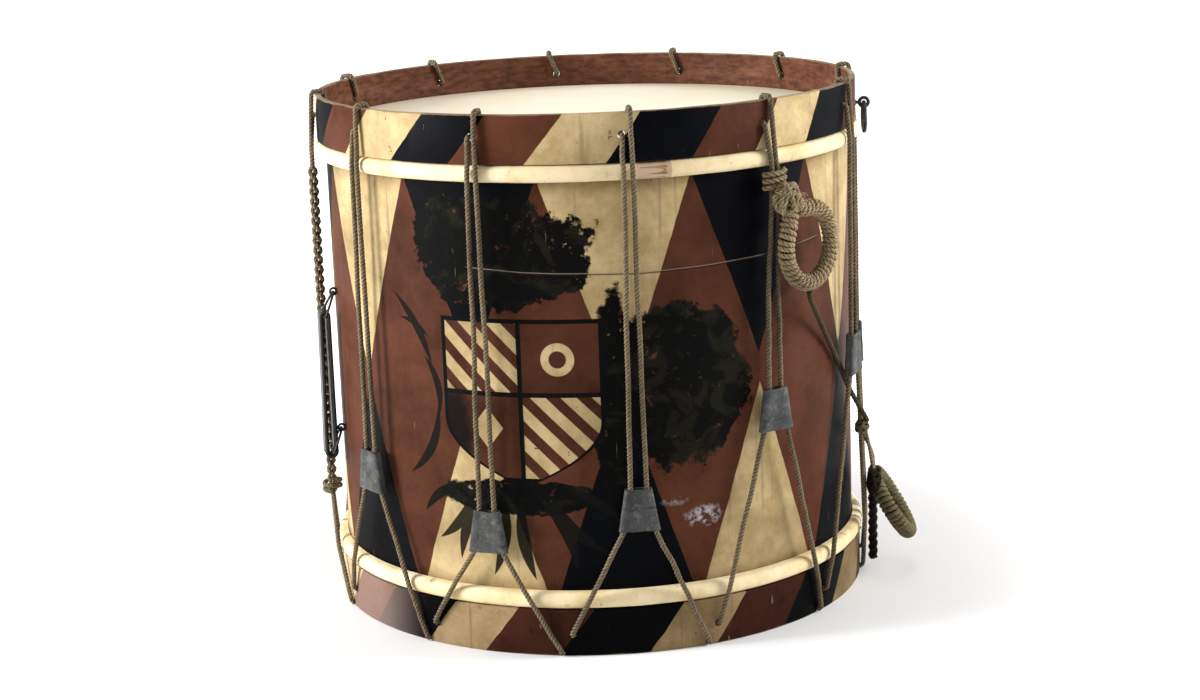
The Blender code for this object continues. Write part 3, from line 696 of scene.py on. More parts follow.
def emblem(finish, colour):
    """A made-up, unlettered ornament in the old manner: a quartered shield in dark foliage."""
    bent = finish.wobbled(finish.angle, 1.1, 85.0)
    tall = finish.wobbled(finish.axes[2], 0.004, 70.0)
    under = finish.high(*(blob(finish, bent, tall, *clump) for clump in FOLIAGE))
    dab = finish.rise(finish.noise(34.0, 5.0, 0.62, distortion=0.9), 0.50, 0.60)
    leaves_green = finish.mix(dab * 0.75, (0.0022, 0.0021, 0.0019), (0.0125, 0.0115, 0.0072))
    ochre = finish.patches(105.0, 4.0, 0.7, 0.60, 0.68) * finish.patches(20.0, 2.0, 0.5, 0.50, 0.60)
    leaves_green = finish.mix(ochre * 0.75, leaves_green, (0.120, 0.050, 0.022))
    worn = finish.patches(120.0, 6.0, 0.75, 0.62, 0.66)
    colour = finish.mix(under * (1.0 - worn * 0.75), colour, leaves_green)
    sprays = finish.high(*(leaf(finish, *one) for one in LEAVES))
    colour = finish.mix(sprays * 0.95, colour, (0.0045, 0.0050, 0.0036))
    inside, field, outline = shield(finish)
    colour = finish.mix(outline, colour, (0.0025, 0.0024, 0.0024))
    colour = finish.mix(field, colour, inside)
    smoke = blob(finish, bent, tall, (-31.5, 0.168), (5.5, 0.036), 1.2, 60.0, 0.3)
    return finish.mix(smoke * field * 0.92, colour, (0.004, 0.004, 0.0036))


def painted_shell(name):
    finish = Finish(name, specular=0.03)
    angle, z = finish.angle, finish.axes[2]
    drawn = finish.wobbled(angle, 0.55) - finish.math("SINE", angle * math.radians(1.0)) * 1.8
    pale = finish.high(
        flames(finish, drawn, 0.200, 0.355, 14.6, 0), flames(finish, drawn, 0.196, 0.050, 13.8, 1)
    )
    deep = finish.high(
        flames(finish, drawn, 0.218, 0.355, 14.2, 1), flames(finish, drawn, 0.198, 0.050, 13.4, 0)
    )
    colour = finish.mix(pale, aged_red(finish), aged_cream(finish, 0.92))
    colour = emblem(finish, finish.mix(deep, colour, aged_dark(finish)))
    chips = finish.patches(75.0, 7.0, 0.78, 0.640, 0.665)
    chips = chips * finish.patches(10.0, 2.0, 0.5, 0.50, 0.66)
    colour = finish.mix(chips * 0.8, colour, (0.014, 0.012, 0.010))
    colour = ageing(finish, colour)
    bow = (angle - 12.0) / 32.0
    crack_height = finish.wobbled(z, 0.0016, 22.0) - 0.2900 - bow * bow * 0.0034
    crack_reach = finish.high(
        finish.span(angle, -27.0, -24.0, 36.0, 39.0), finish.span(angle, 46.0, 47.0, 54.0, 57.0)
    )
    crack = (1.0 - finish.rise(abs(crack_height), 0.00020, 0.00055)) * crack_reach
    colour = finish.mix(crack * 0.55, colour, (0.30, 0.24, 0.17))
    shade_line = (1.0 - finish.rise(abs(crack_height + 0.0009), 0.0002, 0.0007)) * crack_reach
    colour = finish.mix(shade_line * 0.8, colour, (0.012, 0.010, 0.009))
    scuff = finish.high(
        blob(finish, angle, z, (21.8, 0.1005), (3.6, 0.0075), 1.2, 160.0, 0.30),
        blob(finish, angle, z, (15.8, 0.1140), (2.6, 0.0030), 1.4, 160.0, 0.4) * 0.5,
    )
    scuff = scuff * finish.patches(210.0, 4.0, 0.7, 0.44, 0.60)
    colour = finish.mix(scuff * 0.62, colour, (0.52, 0.52, 0.56))
    scratch = finish.rise(finish.streaks(520.0, 26.0, 2.0, 0.5), 0.760, 0.790)
    colour = finish.mix(scratch * 0.34, colour, (0.42, 0.34, 0.24))
    # Painted shade: the shell is darkened next to both rolls, under the overhang of the rolls and
    # hoops
    band = finish.rise(z, 0.3435, 0.3585) * 0.55 + (1.0 - finish.rise(z, 0.0500, 0.0600)) * 0.45
    colour = finish.mix(band, colour, (0.30, 0.25, 0.19), "MULTIPLY")
    relief = finish.streaks(34.0, 420.0, 3.0, 0.6) * 0.5 + finish.noise(180.0, 4.0, 0.6) * 0.35
    relief = relief - crack * 1.6 - chips * 0.6 + scratch * 0.2
    finish.bump(relief, 0.32, 0.0007)
    gloss = finish.noise(40.0, 4.0, 0.6) * 0.22 + 0.38
    return finish.done(colour, gloss + chips * 0.2)


# Where each stripe starts, in degrees round the drum, and the order of the colours
HOOP_STRIPES = {
    "upper": ((
        -169.0, -155.0, -141.0, -126.5, -112.0, -97.5, -82.5, -67.8, -54.5, -39.0, -24.3, -8.9,
        6.1, 22.7, 37.1, 51.5, 66.5, 81.5, 96.5, 111.5, 126.5, 141.5, 156.5, 171.5,
    ), ("dark", "red", "cream")),
    "lower": ((
        -171.0, -157.0, -142.0, -127.0, -112.0, -97.0, -82.0, -67.0, -52.3, -35.9, -22.0, -6.9,
        11.3, 25.5, 43.2, 60.0, 75.0, 90.0, 105.0, 120.0, 135.0, 150.0, 165.0, 179.0,
    ), ("cream", "red", "dark")),
}


def painted_hoop(name):
    """Slanted stripes outside, plain red-brown inside, rubbed edges."""
    upper = name == "painted_upper_hoop"
    rim, middle = (HEIGHT, HEIGHT - HOOP_HEIGHT / 2) if upper else (0.0, HOOP_HEIGHT / 2)
    finish = Finish(name, specular=0.03)
    angle, z = finish.angle, finish.axes[2]
    lean = 7.5 - finish.math("SINE", angle * math.radians(1.0)) * (2.4 if upper else 0.4)
    slanted = finish.wobbled(angle, 0.6) + lean * (middle - z) / HOOP_HEIGHT
    turn = finish.math("FRACT", slanted / 360.0 + 1.5)
    edges, order = HOOP_STRIPES["upper" if upper else "lower"]

    def stripes(wanted):
        stops = [(0.0, order[2] == wanted)]
        stops += [((edge + 180.0) / 360.0, order[i % 3] == wanted) for i, edge in enumerate(edges)]
        return finish.node("ShaderNodeValToRGB", {0: turn}, ramp=stops)

    colour = finish.mix(stripes("cream"), aged_red(finish), aged_cream(finish))
    colour = finish.mix(stripes("dark"), colour, aged_dark(finish))
    chips = finish.patches(70.0, 7.0, 0.78, 0.630, 0.655)
    colour = finish.mix(chips * 0.7, colour, (0.016, 0.013, 0.011))
    inner = 1.0 - finish.rise(finish.radius, HOOP_IN + 0.0006, HOOP_IN + 0.0012)
    streak = finish.bands(0.35, 260.0, 0.0, 4.0, 0.65)
    streak = finish.rise(streak, 0.30, 0.72)
    inside = finish.mix(streak, (0.165, 0.064, 0.036), (0.068, 0.029, 0.019))
    bleached = finish.rise(finish.bands(0.05, 70.0, 3.0, 4.0, 0.6), 0.52, 0.70)
    inside = finish.mix(bleached * 0.5, inside, (0.235, 0.110, 0.064))
    colour = finish.mix(inner, colour, inside)
    colour = ageing(finish, colour)
    if not upper:
        # Painted shade: the lower hoop is darker all round than the upper, as the light falls from
        # above; its left front is spared this and made paler instead
        pale_left_front = finish.span(-angle, 38.0, 56.0, 100.0, 140.0)
        colour = finish.mix(0.60 - pale_left_front * 0.60, colour, (0.22, 0.15, 0.15), "MULTIPLY")
        colour = finish.mix(pale_left_front * 0.26, colour, (0.62, 0.46, 0.38))
    ragged = finish.wobbled(abs(z - rim), 0.0022, 55.0)
    rubbed = 1.0 - finish.rise(ragged, 0.0003, 0.0011)
    colour = finish.mix(rubbed * 0.72, colour, (0.27, 0.20, 0.12))
    scratch = finish.rise(finish.streaks(420.0, 60.0, 2.0, 0.5), 0.745, 0.785)
    colour = finish.mix(scratch * 0.38, colour, (0.45, 0.38, 0.28))
    relief = finish.streaks(26.0, 520.0, 3.0, 0.6) * 0.5 + finish.noise(170.0, 4.0, 0.6) * 0.4
    finish.bump(relief - chips * 0.5, 0.35, 0.0007)
    return finish.done(colour, finish.noise(45.0, 4.0, 0.6) * 0.2 + 0.40)


def calfskin(name):
    """Heads: pale disc, yellowed where the skin is lapped round its hoop, with painted shade in its
    creases.
    """
    skin = colours().skin
    finish = Finish(name, specular=0.10)
    x, y, z = finish.axes
    radius, angle = finish.radius, finish.angle
    mottle = finish.patches(8.0, 6.0, 0.62, 0.34, 0.72)
    disc = finish.mix(mottle, (0.90, 0.84, 0.68), (0.84, 0.75, 0.56))
    blush = finish.rise(x, 0.02, -0.17) * finish.patches(6.0, 4.0, 0.6, 0.35, 0.60)
    disc = finish.mix(blush * 0.35, disc, (0.80, 0.58, 0.42))
    disc = finish.mix(finish.rise(radius, 0.165, 0.207) * 0.35, disc, (0.60, 0.47, 0.29))
    spot = finish.patches(60.0, 5.0, 0.7, 0.66, 0.72)
    disc = finish.mix(spot * 0.35, disc, (0.32, 0.21, 0.11))
    patch = finish.patches(34.0, 5.0, 0.62, 0.40, 0.66)
    roll = finish.mix(patch, skin, tinted(skin, 0.84, 0.77, 0.62))
    stain = finish.rise(finish.bands(0.22, 90.0, 0.0, 5.0, 0.7), 0.60, 0.72)
    roll = finish.mix(stain * 0.72, roll, (0.20, 0.125, 0.07))
    # Painted shade: dark lines across the roll, standing for the shade in its creases
    crease = finish.rise(finish.bands(1.3, 40.0, 5.0, 4.0, 0.7), 0.66, 0.72)
    roll = finish.mix(crease * 0.75, roll, (0.085, 0.058, 0.034))
    pink = finish.span(angle, 8.8, 9.6, 16.0, 16.3) * finish.rise(z, 0.30, 0.31)
    roll = finish.mix(pink * 0.75, roll, (0.52, 0.33, 0.24))
    colour = finish.mix(finish.rise(radius, 0.2095, 0.2105), disc, roll)
    relief = finish.noise(55.0, 5.0, 0.6) * finish.rise(radius, 0.205, 0.211)
    finish.bump(relief + finish.noise(260.0, 3.0, 0.6) * 0.25, 0.35, 0.0010)
    finish.shader.inputs["Subsurface Weight"].default_value = 0.06
    finish.shader.inputs["Subsurface Radius"].default_value = (0.004, 0.002, 0.001)
    return finish.done(colour, finish.noise(30.0, 4.0, 0.6) * 0.25 + 0.34)


# Each hemp's share of the hemp colour, and how dark the painted shade in its grooves is
HEMPS = {
    "lacing_hemp": ((1.0,), 0.62), "sling_hemp": ((1.58, 1.56, 1.46), 0.66),
    "whipping_hemp": ((2.10, 2.05, 1.88), 0.66), "side_hemp": ((0.84, 0.88, 0.78), 0.40),
    # Below, the shadowed hemp is the hemp darkened as painted shade, for rope that hangs in shadow
    "run_hemp": ((0.40,), 0.62), "tail_hemp": ((0.10,), 0.62),
}


def hemp(name):
    """Laid fibre: painted shade in the grooves, frayed pale along the strands."""
    tint, depth = HEMPS[name]
    colour = tinted(colours().hemp, *tint)
    finish = Finish(name, roughness=0.9, specular=0.05)
    along = finish.node("ShaderNodeAttribute", output="Fac", attribute_name="along")
    turn, crown = finish.crowns(3.0)
    fibre = finish.noise(1.0, 3.0, 0.65, finish.vector(along * 260.0, turn * 46.0, 0.0))
    base = finish.mix(finish.rise(fibre, 0.30, 0.72), tinted(colour, 0.62), tinted(colour, 1.70))
    stain = finish.patches(16.0, 4.0, 0.6, 0.42, 0.70)
    base = finish.mix(stain * 0.55, base, tinted(colour, 0.42, 0.44, 0.50))
    # Painted shade: the grooves between the strands are darkened
    base = finish.mix((1.0 - crown) * depth, base, tinted(colour, 0.10))
    finish.bump(fibre * 0.8 + crown * 0.5, 0.6, 0.0005)
    return finish.done(base)


def grey_leather(name):
    colour = colours().ear
    finish = Finish(name, specular=0.12)
    cloud = finish.patches(70.0, 5.0, 0.66, 0.32, 0.70)
    base = finish.mix(cloud, tinted(colour, 1.35), tinted(colour, 0.62))
    chalk = finish.patches(150.0, 5.0, 0.72, 0.50, 0.64)
    base = finish.mix(chalk * 0.50, base, (0.17, 0.17, 0.155))
    # Painted shade: dark horizontal bands for the shade in the ear's creases, which the bump also
    # sinks
    crease = finish.rise(finish.streaks(30.0, 260.0, 3.0, 0.6), 0.58, 0.70)
    base = finish.mix(crease * 0.75, base, (0.018, 0.018, 0.018))
    relief = finish.noise(420.0, 3.0, 0.6) * 0.4 - crease * 0.6 + cloud * 0.2
    finish.bump(relief, 0.5, 0.0006)
    return finish.done(base, finish.noise(60.0, 3.0, 0.6) * 0.2 + 0.55)


def black_leather(name):
    finish = Finish(name, specular=0.22)
    cloud = finish.patches(60.0, 4.0, 0.6, 0.40, 0.70)
    base = finish.mix(cloud, (0.010, 0.010, 0.010), (0.026, 0.024, 0.022))
    crack = finish.patches(330.0, 3.0, 0.6, 0.60, 0.70)
    base = finish.mix(crack * 0.3, base, (0.055, 0.045, 0.036))
    finish.bump(finish.noise(520.0, 3.0, 0.6) * 0.5 + cloud * 0.3, 0.35, 0.0005)
    return finish.done(base, finish.noise(90.0, 3.0, 0.6) * 0.25 + 0.26)


def blackened_iron(name):
    finish = Finish(name, metallic=0.85, specular=0.5)
    pitted = finish.patches(240.0, 5.0, 0.7, 0.40, 0.66)
    rust = finish.patches(90.0, 5.0, 0.7, 0.56, 0.68)
    base = finish.mix(pitted, (0.020, 0.020, 0.022), (0.055, 0.054, 0.056))
    base = finish.mix(rust * 0.55, base, (0.075, 0.034, 0.018))
    finish.bump(pitted * 0.7, 0.5, 0.0004)
    return finish.done(base, rust * 0.25 + 0.38)


def bare_wood(name):
    finish = Finish(name, specular=0.3)
    grain = finish.bands(0.12, 380.0, 0.0, 5.0, 0.62)
    base = finish.mix(finish.rise(grain, 0.28, 0.74), (0.42, 0.26, 0.13), (0.20, 0.11, 0.05))
    finish.bump(grain, 0.3, 0.0005)
    return finish.done(base, grain * 0.2 + 0.58)


def twisted_gut(name):
    finish = Finish(name, specular=0.5)
    crown = finish.crowns(2.0)[1]
    base = finish.mix(finish.noise(200.0, 3.0, 0.6), (0.50, 0.38, 0.20), (0.30, 0.20, 0.10))
    # Painted shade: the groove between the two strands is darkened
    base = finish.mix((1.0 - crown) * 0.5, base, (0.10, 0.07, 0.03))
    finish.bump(crown, 0.4, 0.0003)
    return finish.done(base, crown * 0.1 + 0.4)


MAKERS = {
    "shell_paint": painted_shell, "painted_upper_hoop": painted_hoop,
    "painted_lower_hoop": painted_hoop, "calfskin": calfskin, "ear_leather": grey_leather,
    "strap_leather": black_leather, "blackened_iron": blackened_iron, "plain_wood": bare_wood,
    "twisted_gut": twisted_gut, **dict.fromkeys(HEMPS, hemp),
}


def finish_named(name):
    """Each finish is made once and shared by the pieces that wear it."""
    return bpy.data.materials.get(name) or MAKERS[name](name)


def dress(node, name):
    """Gives a CAD node that stays in view its finish."""
    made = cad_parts[node]
    made.data.materials.clear()
    made.data.materials.append(finish_named(name))


# Routes that the CAD source follows too


def at_rope_run(start, end, height):
    crossing = start.lerp(end, (height - start.z) / (end.z - start.z))
    reach = ROPE_RUN / math.hypot(crossing.x, crossing.y)
    return Vector((crossing.x * reach, crossing.y * reach, height))


def top_bight(angle):
    """Out of the hoop's hole, up inside it and over its rim."""
    hole, over = HEIGHT - HOLE_INSET, HEIGHT + GAP + ROPE / 2
    left, right = -TOP_SPREAD, TOP_SPREAD
    return [beside(angle, *p) for p in (
        (ROPE_OUTSIDE, left, hole - BEND), (ROPE_OUTSIDE - BEND * 0.8, left, hole),
        (ROPE_INSIDE + BEND * 0.7, left, hole), (ROPE_INSIDE, left, hole + BEND),
        (ROPE_INSIDE, right, over - BEND * 1.3), (ROPE_INSIDE + BEND * 0.7, right, over),
        (ROPE_OUTSIDE - BEND * 0.7, right, over), (ROPE_OUTSIDE, right, over - BEND * 1.3),
    )]


def bottom_bight(angle):
    """Under the lower hoop, up inside it and out of its hole."""
    under = 0.0005 + ROPE / 2
    left, right = -BOTTOM_SPREAD, BOTTOM_SPREAD
    return [beside(angle, *p) for p in (
        (ROPE_OUTSIDE, left, under + BEND * 1.3), (ROPE_OUTSIDE - BEND * 0.7, left, under),
        (ROPE_INSIDE + BEND * 0.7, left, under), (ROPE_INSIDE, left, under + BEND * 1.3),
        (ROPE_INSIDE, right, HOLE_INSET - BEND), (ROPE_INSIDE + BEND * 0.7, right, HOLE_INSET),
        (ROPE_OUTSIDE - BEND * 0.8, right, HOLE_INSET), (ROPE_OUTSIDE, right, HOLE_INSET + BEND),
    )]


def strand(index, side):
    """One strand at its ear, or one of the two that are laid round each other, from its foot up."""
    angle, foot = POSITIONS[index], EAR_FEET[index]
    if foot is not None:
        return [
            beside(angle, ROPE_RUN, side * EAR_FOOT_SPREAD, foot),
            beside(angle, ROPE_RUN, side * EAR_TOP_SPREAD, foot + EAR_HEIGHT),
        ]
    points, apart, turns, low, high = [], 0.0022, 17, 0.081, 0.350
    for step in range(turns * 12 + 1):
        turn = math.tau * step / 12
        points.append(beside(
            angle, ROPE_RUN + side * apart * math.sin(turn), side * apart * math.cos(turn),
            low + (high - low) * step / (turns * 12),
        ))
    return points


def slackened(start, end, seed, amount=0.0007):
    """Lets a straight strand wander a little, as old rope does, with its ends held."""
    made = []
    count = max(int((end - start).length / 0.012), 1)
    for step in range(count):
        share = step / count
        sway = math.sin(math.pi * share)
        shift = noise.noise_vector(Vector((seed * 7.3, share * 4.0, 0.5))) * amount * sway
        point = start.lerp(end, share)
        outward = Vector((point.x, point.y, 0.0)).normalized()
        along_wall = Vector((-outward.y, outward.x, 0.0))
        made.append(point + along_wall * shift.x * 2.0 + outward * abs(shift.y) * 0.3)
    return made


def waisted(index, side, low, high):
    """A strand from its ear to the roll; the sling's knot draws its own pair to the right."""
    if index != KNOTTED_PAIR:
        return [low, high]
    drawn_in = (
        (0.0034 + side * 0.0030, 0.3370), (0.0036 + side * 0.0026, 0.3560),
        (0.0026 + side * 0.0023, high.z),
    )
    return [low, low.lerp(high, 0.42)] + [
        beside(POSITIONS[index], ROPE_RUN, offset, height) for offset, height in drawn_in
    ]


def lacing_route():
    route = []

    def run(points, seed):
        for start, end in zip(points, points[1:]):
            route.extend(slackened(start, end, seed))

    low_mid, high_mid = HOOP_HEIGHT + ROLL_HEIGHT / 2, HEIGHT - HOOP_HEIGHT - ROLL_HEIGHT / 2
    for index, angle in enumerate(POSITIONS):
        twisted = index == TWISTED_PAIR
        before, after = bottom_bight(angle - 15.0), bottom_bight(angle + 15.0)
        top, left, right = top_bight(angle), strand(index, -1), strand(index, 1)
        route.extend(before[:-1])
        crossing = at_rope_run(before[-1], left[0], low_mid)
        run([before[-1], crossing], index)
        run([crossing, left[0]], index + 0.2)
        route.extend(left[:-1] if twisted else left[:1])
        waist = waisted(index, -1, left[-1], at_rope_run(left[-1], top[0], high_mid))
        run(waist, index + 0.4)
        run([waist[-1], top[0]], index + 0.45)
        route.extend(top[:-1])
        waist = waisted(index, 1, right[-1], at_rope_run(top[-1], right[-1], high_mid))[::-1]
        run([top[-1], waist[0]], index + 0.5)
        run(waist, index + 0.6)
        route.extend(right[:0:-1] if twisted else right[-1:])
        crossing = at_rope_run(right[0], after[0], low_mid)
        run([right[0], crossing], index + 0.8)
        run([crossing, after[0]], index + 0.9)
    return route


def turns_round(centre, across, deep, rise, half_width, half_depth, turns, per_turn=16):
    """Plain turns round a pair of strands."""
    points = []
    for step in range(turns * per_turn + 1):
        share = step / per_turn
        turn = math.tau * share
        points.append(
            centre + across * half_width * math.cos(turn) + deep * half_depth * math.sin(turn)
            + rise * share
        )
    return points


def tangle(centre, across, deep, up, half, turns, spread, seed, per_turn=18):
    """A rope wound over itself into an oval lump, every loop leaning another way."""
    points = []
    for step in range(turns * per_turn + 1):
        share = step / per_turn
        turn = math.tau * share
        lean = spread * math.sin(share * 1.9 + seed)
        roll = spread * math.sin(share * 2.6 + seed * 1.7)
        place = Vector((
            math.cos(turn) * math.cos(roll), math.sin(turn) * math.cos(lean),
            math.cos(turn) * math.sin(roll) + math.sin(turn) * math.sin(lean),
        )).normalized() * (1.0 + 0.09 * math.sin(share * 5.1 + seed))
        points.append(
            centre + across * half[0] * place.x + deep * half[1] * place.y + up * half[2] * place.z
        )
    return points


def winding(route, outward, bend, pitch, seed, per_turn=18):
    """The path of a cord wound round a route, its turns a little uneven."""
    marks = [0.0]
    for start, end in zip(route, route[1:]):
        marks.append(marks[-1] + (end - start).length)
    steps = round(marks[-1] / pitch) * per_turn
    points, i = [], 0
    for step in range(steps + 1):
        far = marks[-1] * step / steps
        while i < len(route) - 2 and marks[i + 1] < far:
            i += 1
        heading = route[i + 1] - route[i]
        across = heading.cross(outward).normalized()
        out = across.cross(heading).normalized()
        turn = math.tau * step / per_turn
        reach = bend * (1.0 + 0.07 * noise.noise(Vector((step / per_turn * 0.9, seed, 0.0))))
        slip = pitch * 0.16 * noise.noise(Vector((step / per_turn * 0.7, seed, 7.0)))
        point = route[i] + heading * ((far - marks[i]) / heading.length)
        point += heading.normalized() * slip
        points.append(point + across * reach * math.cos(turn) + out * reach * math.sin(turn))
    return points


def stray_fibres(centre, across, deep, up, half, count, draw):
    """Short bent fibres that stand out of a knot."""
    made = []
    for _ in range(count):
        turn, rise = draw.uniform(0.0, math.tau), draw.uniform(-0.9, 0.8)
        way = (across * math.cos(turn) + deep * abs(math.sin(turn)) + up * rise).normalized()
        foot = centre + across * half[0] * way.dot(across) + deep * half[1] * way.dot(deep)
        foot += up * half[2] * way.dot(up)
        drop = (across * draw.uniform(-0.4, 0.4) - up * draw.uniform(0.2, 1.0)) * 0.004
        reach = draw.uniform(0.002, 0.0052)
        points = [foot + way * reach * t + drop * t * t for t in (0.0, 0.33, 0.66, 1.0)]
        thick = draw.uniform(0.00022, 0.00040)
        made.append(rounded_wire("fibre", points, thick, closed=False, sides=1))
    return made


# The sling's routes, as (degrees, radius, height)
FRONT_LEADS = (
    (
        (39.7, 0.2295, 0.3160), (40.1, 0.2294, 0.3220), (40.2, 0.2290, 0.3280),
        (40.1, 0.2287, 0.3340), (40.0, 0.2285, 0.3372),
    ),
    (
        (44.2, 0.2294, 0.3255), (42.8, 0.2291, 0.3262), (41.9, 0.2288, 0.3285),
        (41.6, 0.2287, 0.3330), (41.5, 0.2286, 0.3372),
    ),
)
SIDE_LEADS = (
    (
        (79.5, 0.2276, 0.0797), (79.6, 0.2270, 0.0850), (78.4, 0.2266, 0.0960),
        (76.2, 0.2260, 0.1080), (74.5, 0.2240, 0.1240),
    ),
    (
        (85.1, 0.2276, 0.0797), (84.0, 0.2272, 0.0850), (82.0, 0.2270, 0.0915),
        (79.9, 0.2268, 0.0990), (77.5, 0.2250, 0.1095), (75.7, 0.2206, 0.1220),
    ),
)
SLING_RUN = (
    (45.0, 0.2294, 0.2618), (46.4, 0.2262, 0.2545), (51.4, 0.2185, 0.2374),
    (57.0, 0.2142, 0.2163), (62.2, 0.2128, 0.1960), (66.2, 0.2128, 0.1800),
    (68.8, 0.2146, 0.1665), (70.8, 0.2196, 0.1520), (72.1, 0.2242, 0.1408), (73.3, 0.2256, 0.1348),
)
SLING_TAIL = (
    (82.4, 0.2262, 0.0844), (82.4, 0.2262, 0.0700), (82.2, 0.2263, 0.0550),
    (82.5, 0.2263, 0.0400), (82.3, 0.2262, 0.0250), (82.6, 0.2262, 0.0080),
)
# Each grip's place, the angle at which its ring opens, and its rope's two ends
GRIPS = {
    "front": (
        around(45.0) @ at(ROPE_RUN + ROPE / 2 + GAP + GRIP_HALF, 0.0, 0.2975), 117.0, FRONT_LEADS,
    ),
    "side": (
        around(82.3) @ at(0.2410, 0.0, 0.0575) @ Matrix.Rotation(-math.radians(31.0), 4, "Y"),
        90.0, SIDE_LEADS,
    ),
}


def grip_ring(place, opens_at, steps=48):
    """An oval with an opening of 68 degrees."""
    start = math.radians(opens_at + 34.0)
    angles = [start + math.radians(292.0) * step / steps for step in range(steps + 1)]
    return [place @ Vector((0.0, 0.026 * math.cos(a), 0.0285 * math.sin(a))) for a in angles]


def on_wall(route):
    return [beside(angle, radius, 0.0, height) for angle, radius, height in route]


# Operators, one for each piece or group of pieces


class MakeStage(bpy.types.Operator):
    """Camera at the photograph's view, pale floor and soft light"""

    bl_idname = "drum.stage"
    bl_label = "Stage"

    def execute(self, context):
        self.camera(context.scene)
        self.floor()
        self.world(context.scene)
        for name, spot, size, power in (
            ("left", (-2.25, -0.52, 0.90), 0.8, 96.0), ("right", (2.2, -0.14, 1.10), 0.9, 62.0),
            ("top", (-0.2, 0.1, 2.3), 1.2, 11.5),
        ):
            lamp = bpy.data.lights.new(name, "AREA")
            lamp.size, lamp.energy = size, power
            made = shown(name, lamp)
            made.location = spot
            aim = Vector((0, 0, 0.2)) - Vector(spot)
            made.rotation_euler = aim.to_track_quat("-Z", "Y").to_euler()
        context.scene.view_settings.view_transform = "Standard"
        return {"FINISHED"}

    def camera(self, scene):
        stage = scene.drum_stage
        camera = scene.camera = shown("camera", bpy.data.cameras.new("camera"))
        camera.data.sensor_width = 36.0
        camera.data.lens = stage.focal_pixels / 1200.0 * 36.0
        cy, sy = math.cos(stage.yaw), math.sin(stage.yaw)
        cp, sp = math.cos(stage.pitch), math.sin(stage.pitch)
        cr, sr = math.cos(stage.roll), math.sin(stage.roll)
        level, up = Vector((cy, -sy, 0)), Vector((sy * sp, cy * sp, cp))
        ahead = Vector((sy * cp, cy * cp, -sp))
        camera.matrix_world = at(0, -stage.distance, stage.height) @ Matrix(
            (level * cr - up * sr, level * sr + up * cr, -ahead)
        ).transposed().to_4x4()

    def floor(self):
        """White to rays from the camera, off gloss and through glass, greyer under the drum."""
        bm = bmesh.new()
        bmesh.ops.create_grid(bm, x_segments=1, y_segments=1, size=9.0)
        floor = shown("floor", mesh_of(bm, "floor"))
        white = Finish("floor_white", roughness=0.9, specular=0.1)
        seen = white.high(*(
            white.node("ShaderNodeLightPath", output=f"Is {kind} Ray")
            for kind in ("Camera", "Glossy", "Transmission")
        ))
        glow = seen * (0.10 + white.rise(white.radius, 0.27, 0.75) * 0.90)
        white.feed(white.shader.inputs["Emission Color"], white.vector(glow, glow, glow))
        white.shader.inputs["Emission Strength"].default_value = 1.0
        floor.data.materials.append(white.done((0.80, 0.80, 0.80)))

    def world(self, scene):
        """White to the same rays, and dimmer as light."""
        world = scene.world = bpy.data.worlds.new("studio")
        world.use_nodes = True
        nodes, links = world.node_tree.nodes, world.node_tree.links
        path, strength = nodes.new("ShaderNodeLightPath"), nodes.new("ShaderNodeMapRange")
        seen = path.outputs["Is Camera Ray"]
        for kind in ("Is Glossy Ray", "Is Transmission Ray"):
            either = nodes.new("ShaderNodeMath")
            either.operation = "MAXIMUM"
            links.new(seen, either.inputs[0])
            links.new(path.outputs[kind], either.inputs[1])
            seen = either.outputs[0]
        links.new(seen, strength.inputs["Value"])
        strength.inputs["To Min"].default_value = 0.30
        strength.inputs["To Max"].default_value = 1.0
        links.new(strength.outputs[0], nodes["Background"].inputs["Strength"])
        nodes["Background"].inputs["Color"].default_value = (1, 1, 1, 1)


class MakeShell(bpy.types.Operator):
    """Painted wooden shell and its two inner rings"""

    bl_idname = "drum.shell"
    bl_label = "Shell"

    def execute(self, context):
        top, low, c = SHELL_TOP, SHELL_LOW, 0.0018
        profile = [(SHELL_IN, top), (SHELL_OUT - c, top), (SHELL_OUT, top - c)]
        profile += [(SHELL_OUT, top - c - (top - low - 2 * c) * i / 12) for i in range(1, 12)]
        profile += [(SHELL_OUT, low + c), (SHELL_OUT - c, low), (SHELL_IN, low)]
        mesh = turned("drum_shell", profile, sizes().facets)
        piece("drum_shell", mesh, "drum", ["shell"], "shell_paint", smooth=35)
        for inner in ("stiffening_ring", "flesh_hoop"):
            for which in ("upper", "lower"):
                dress(f"{which}_{inner}", "plain_wood")
        return {"FINISHED"}


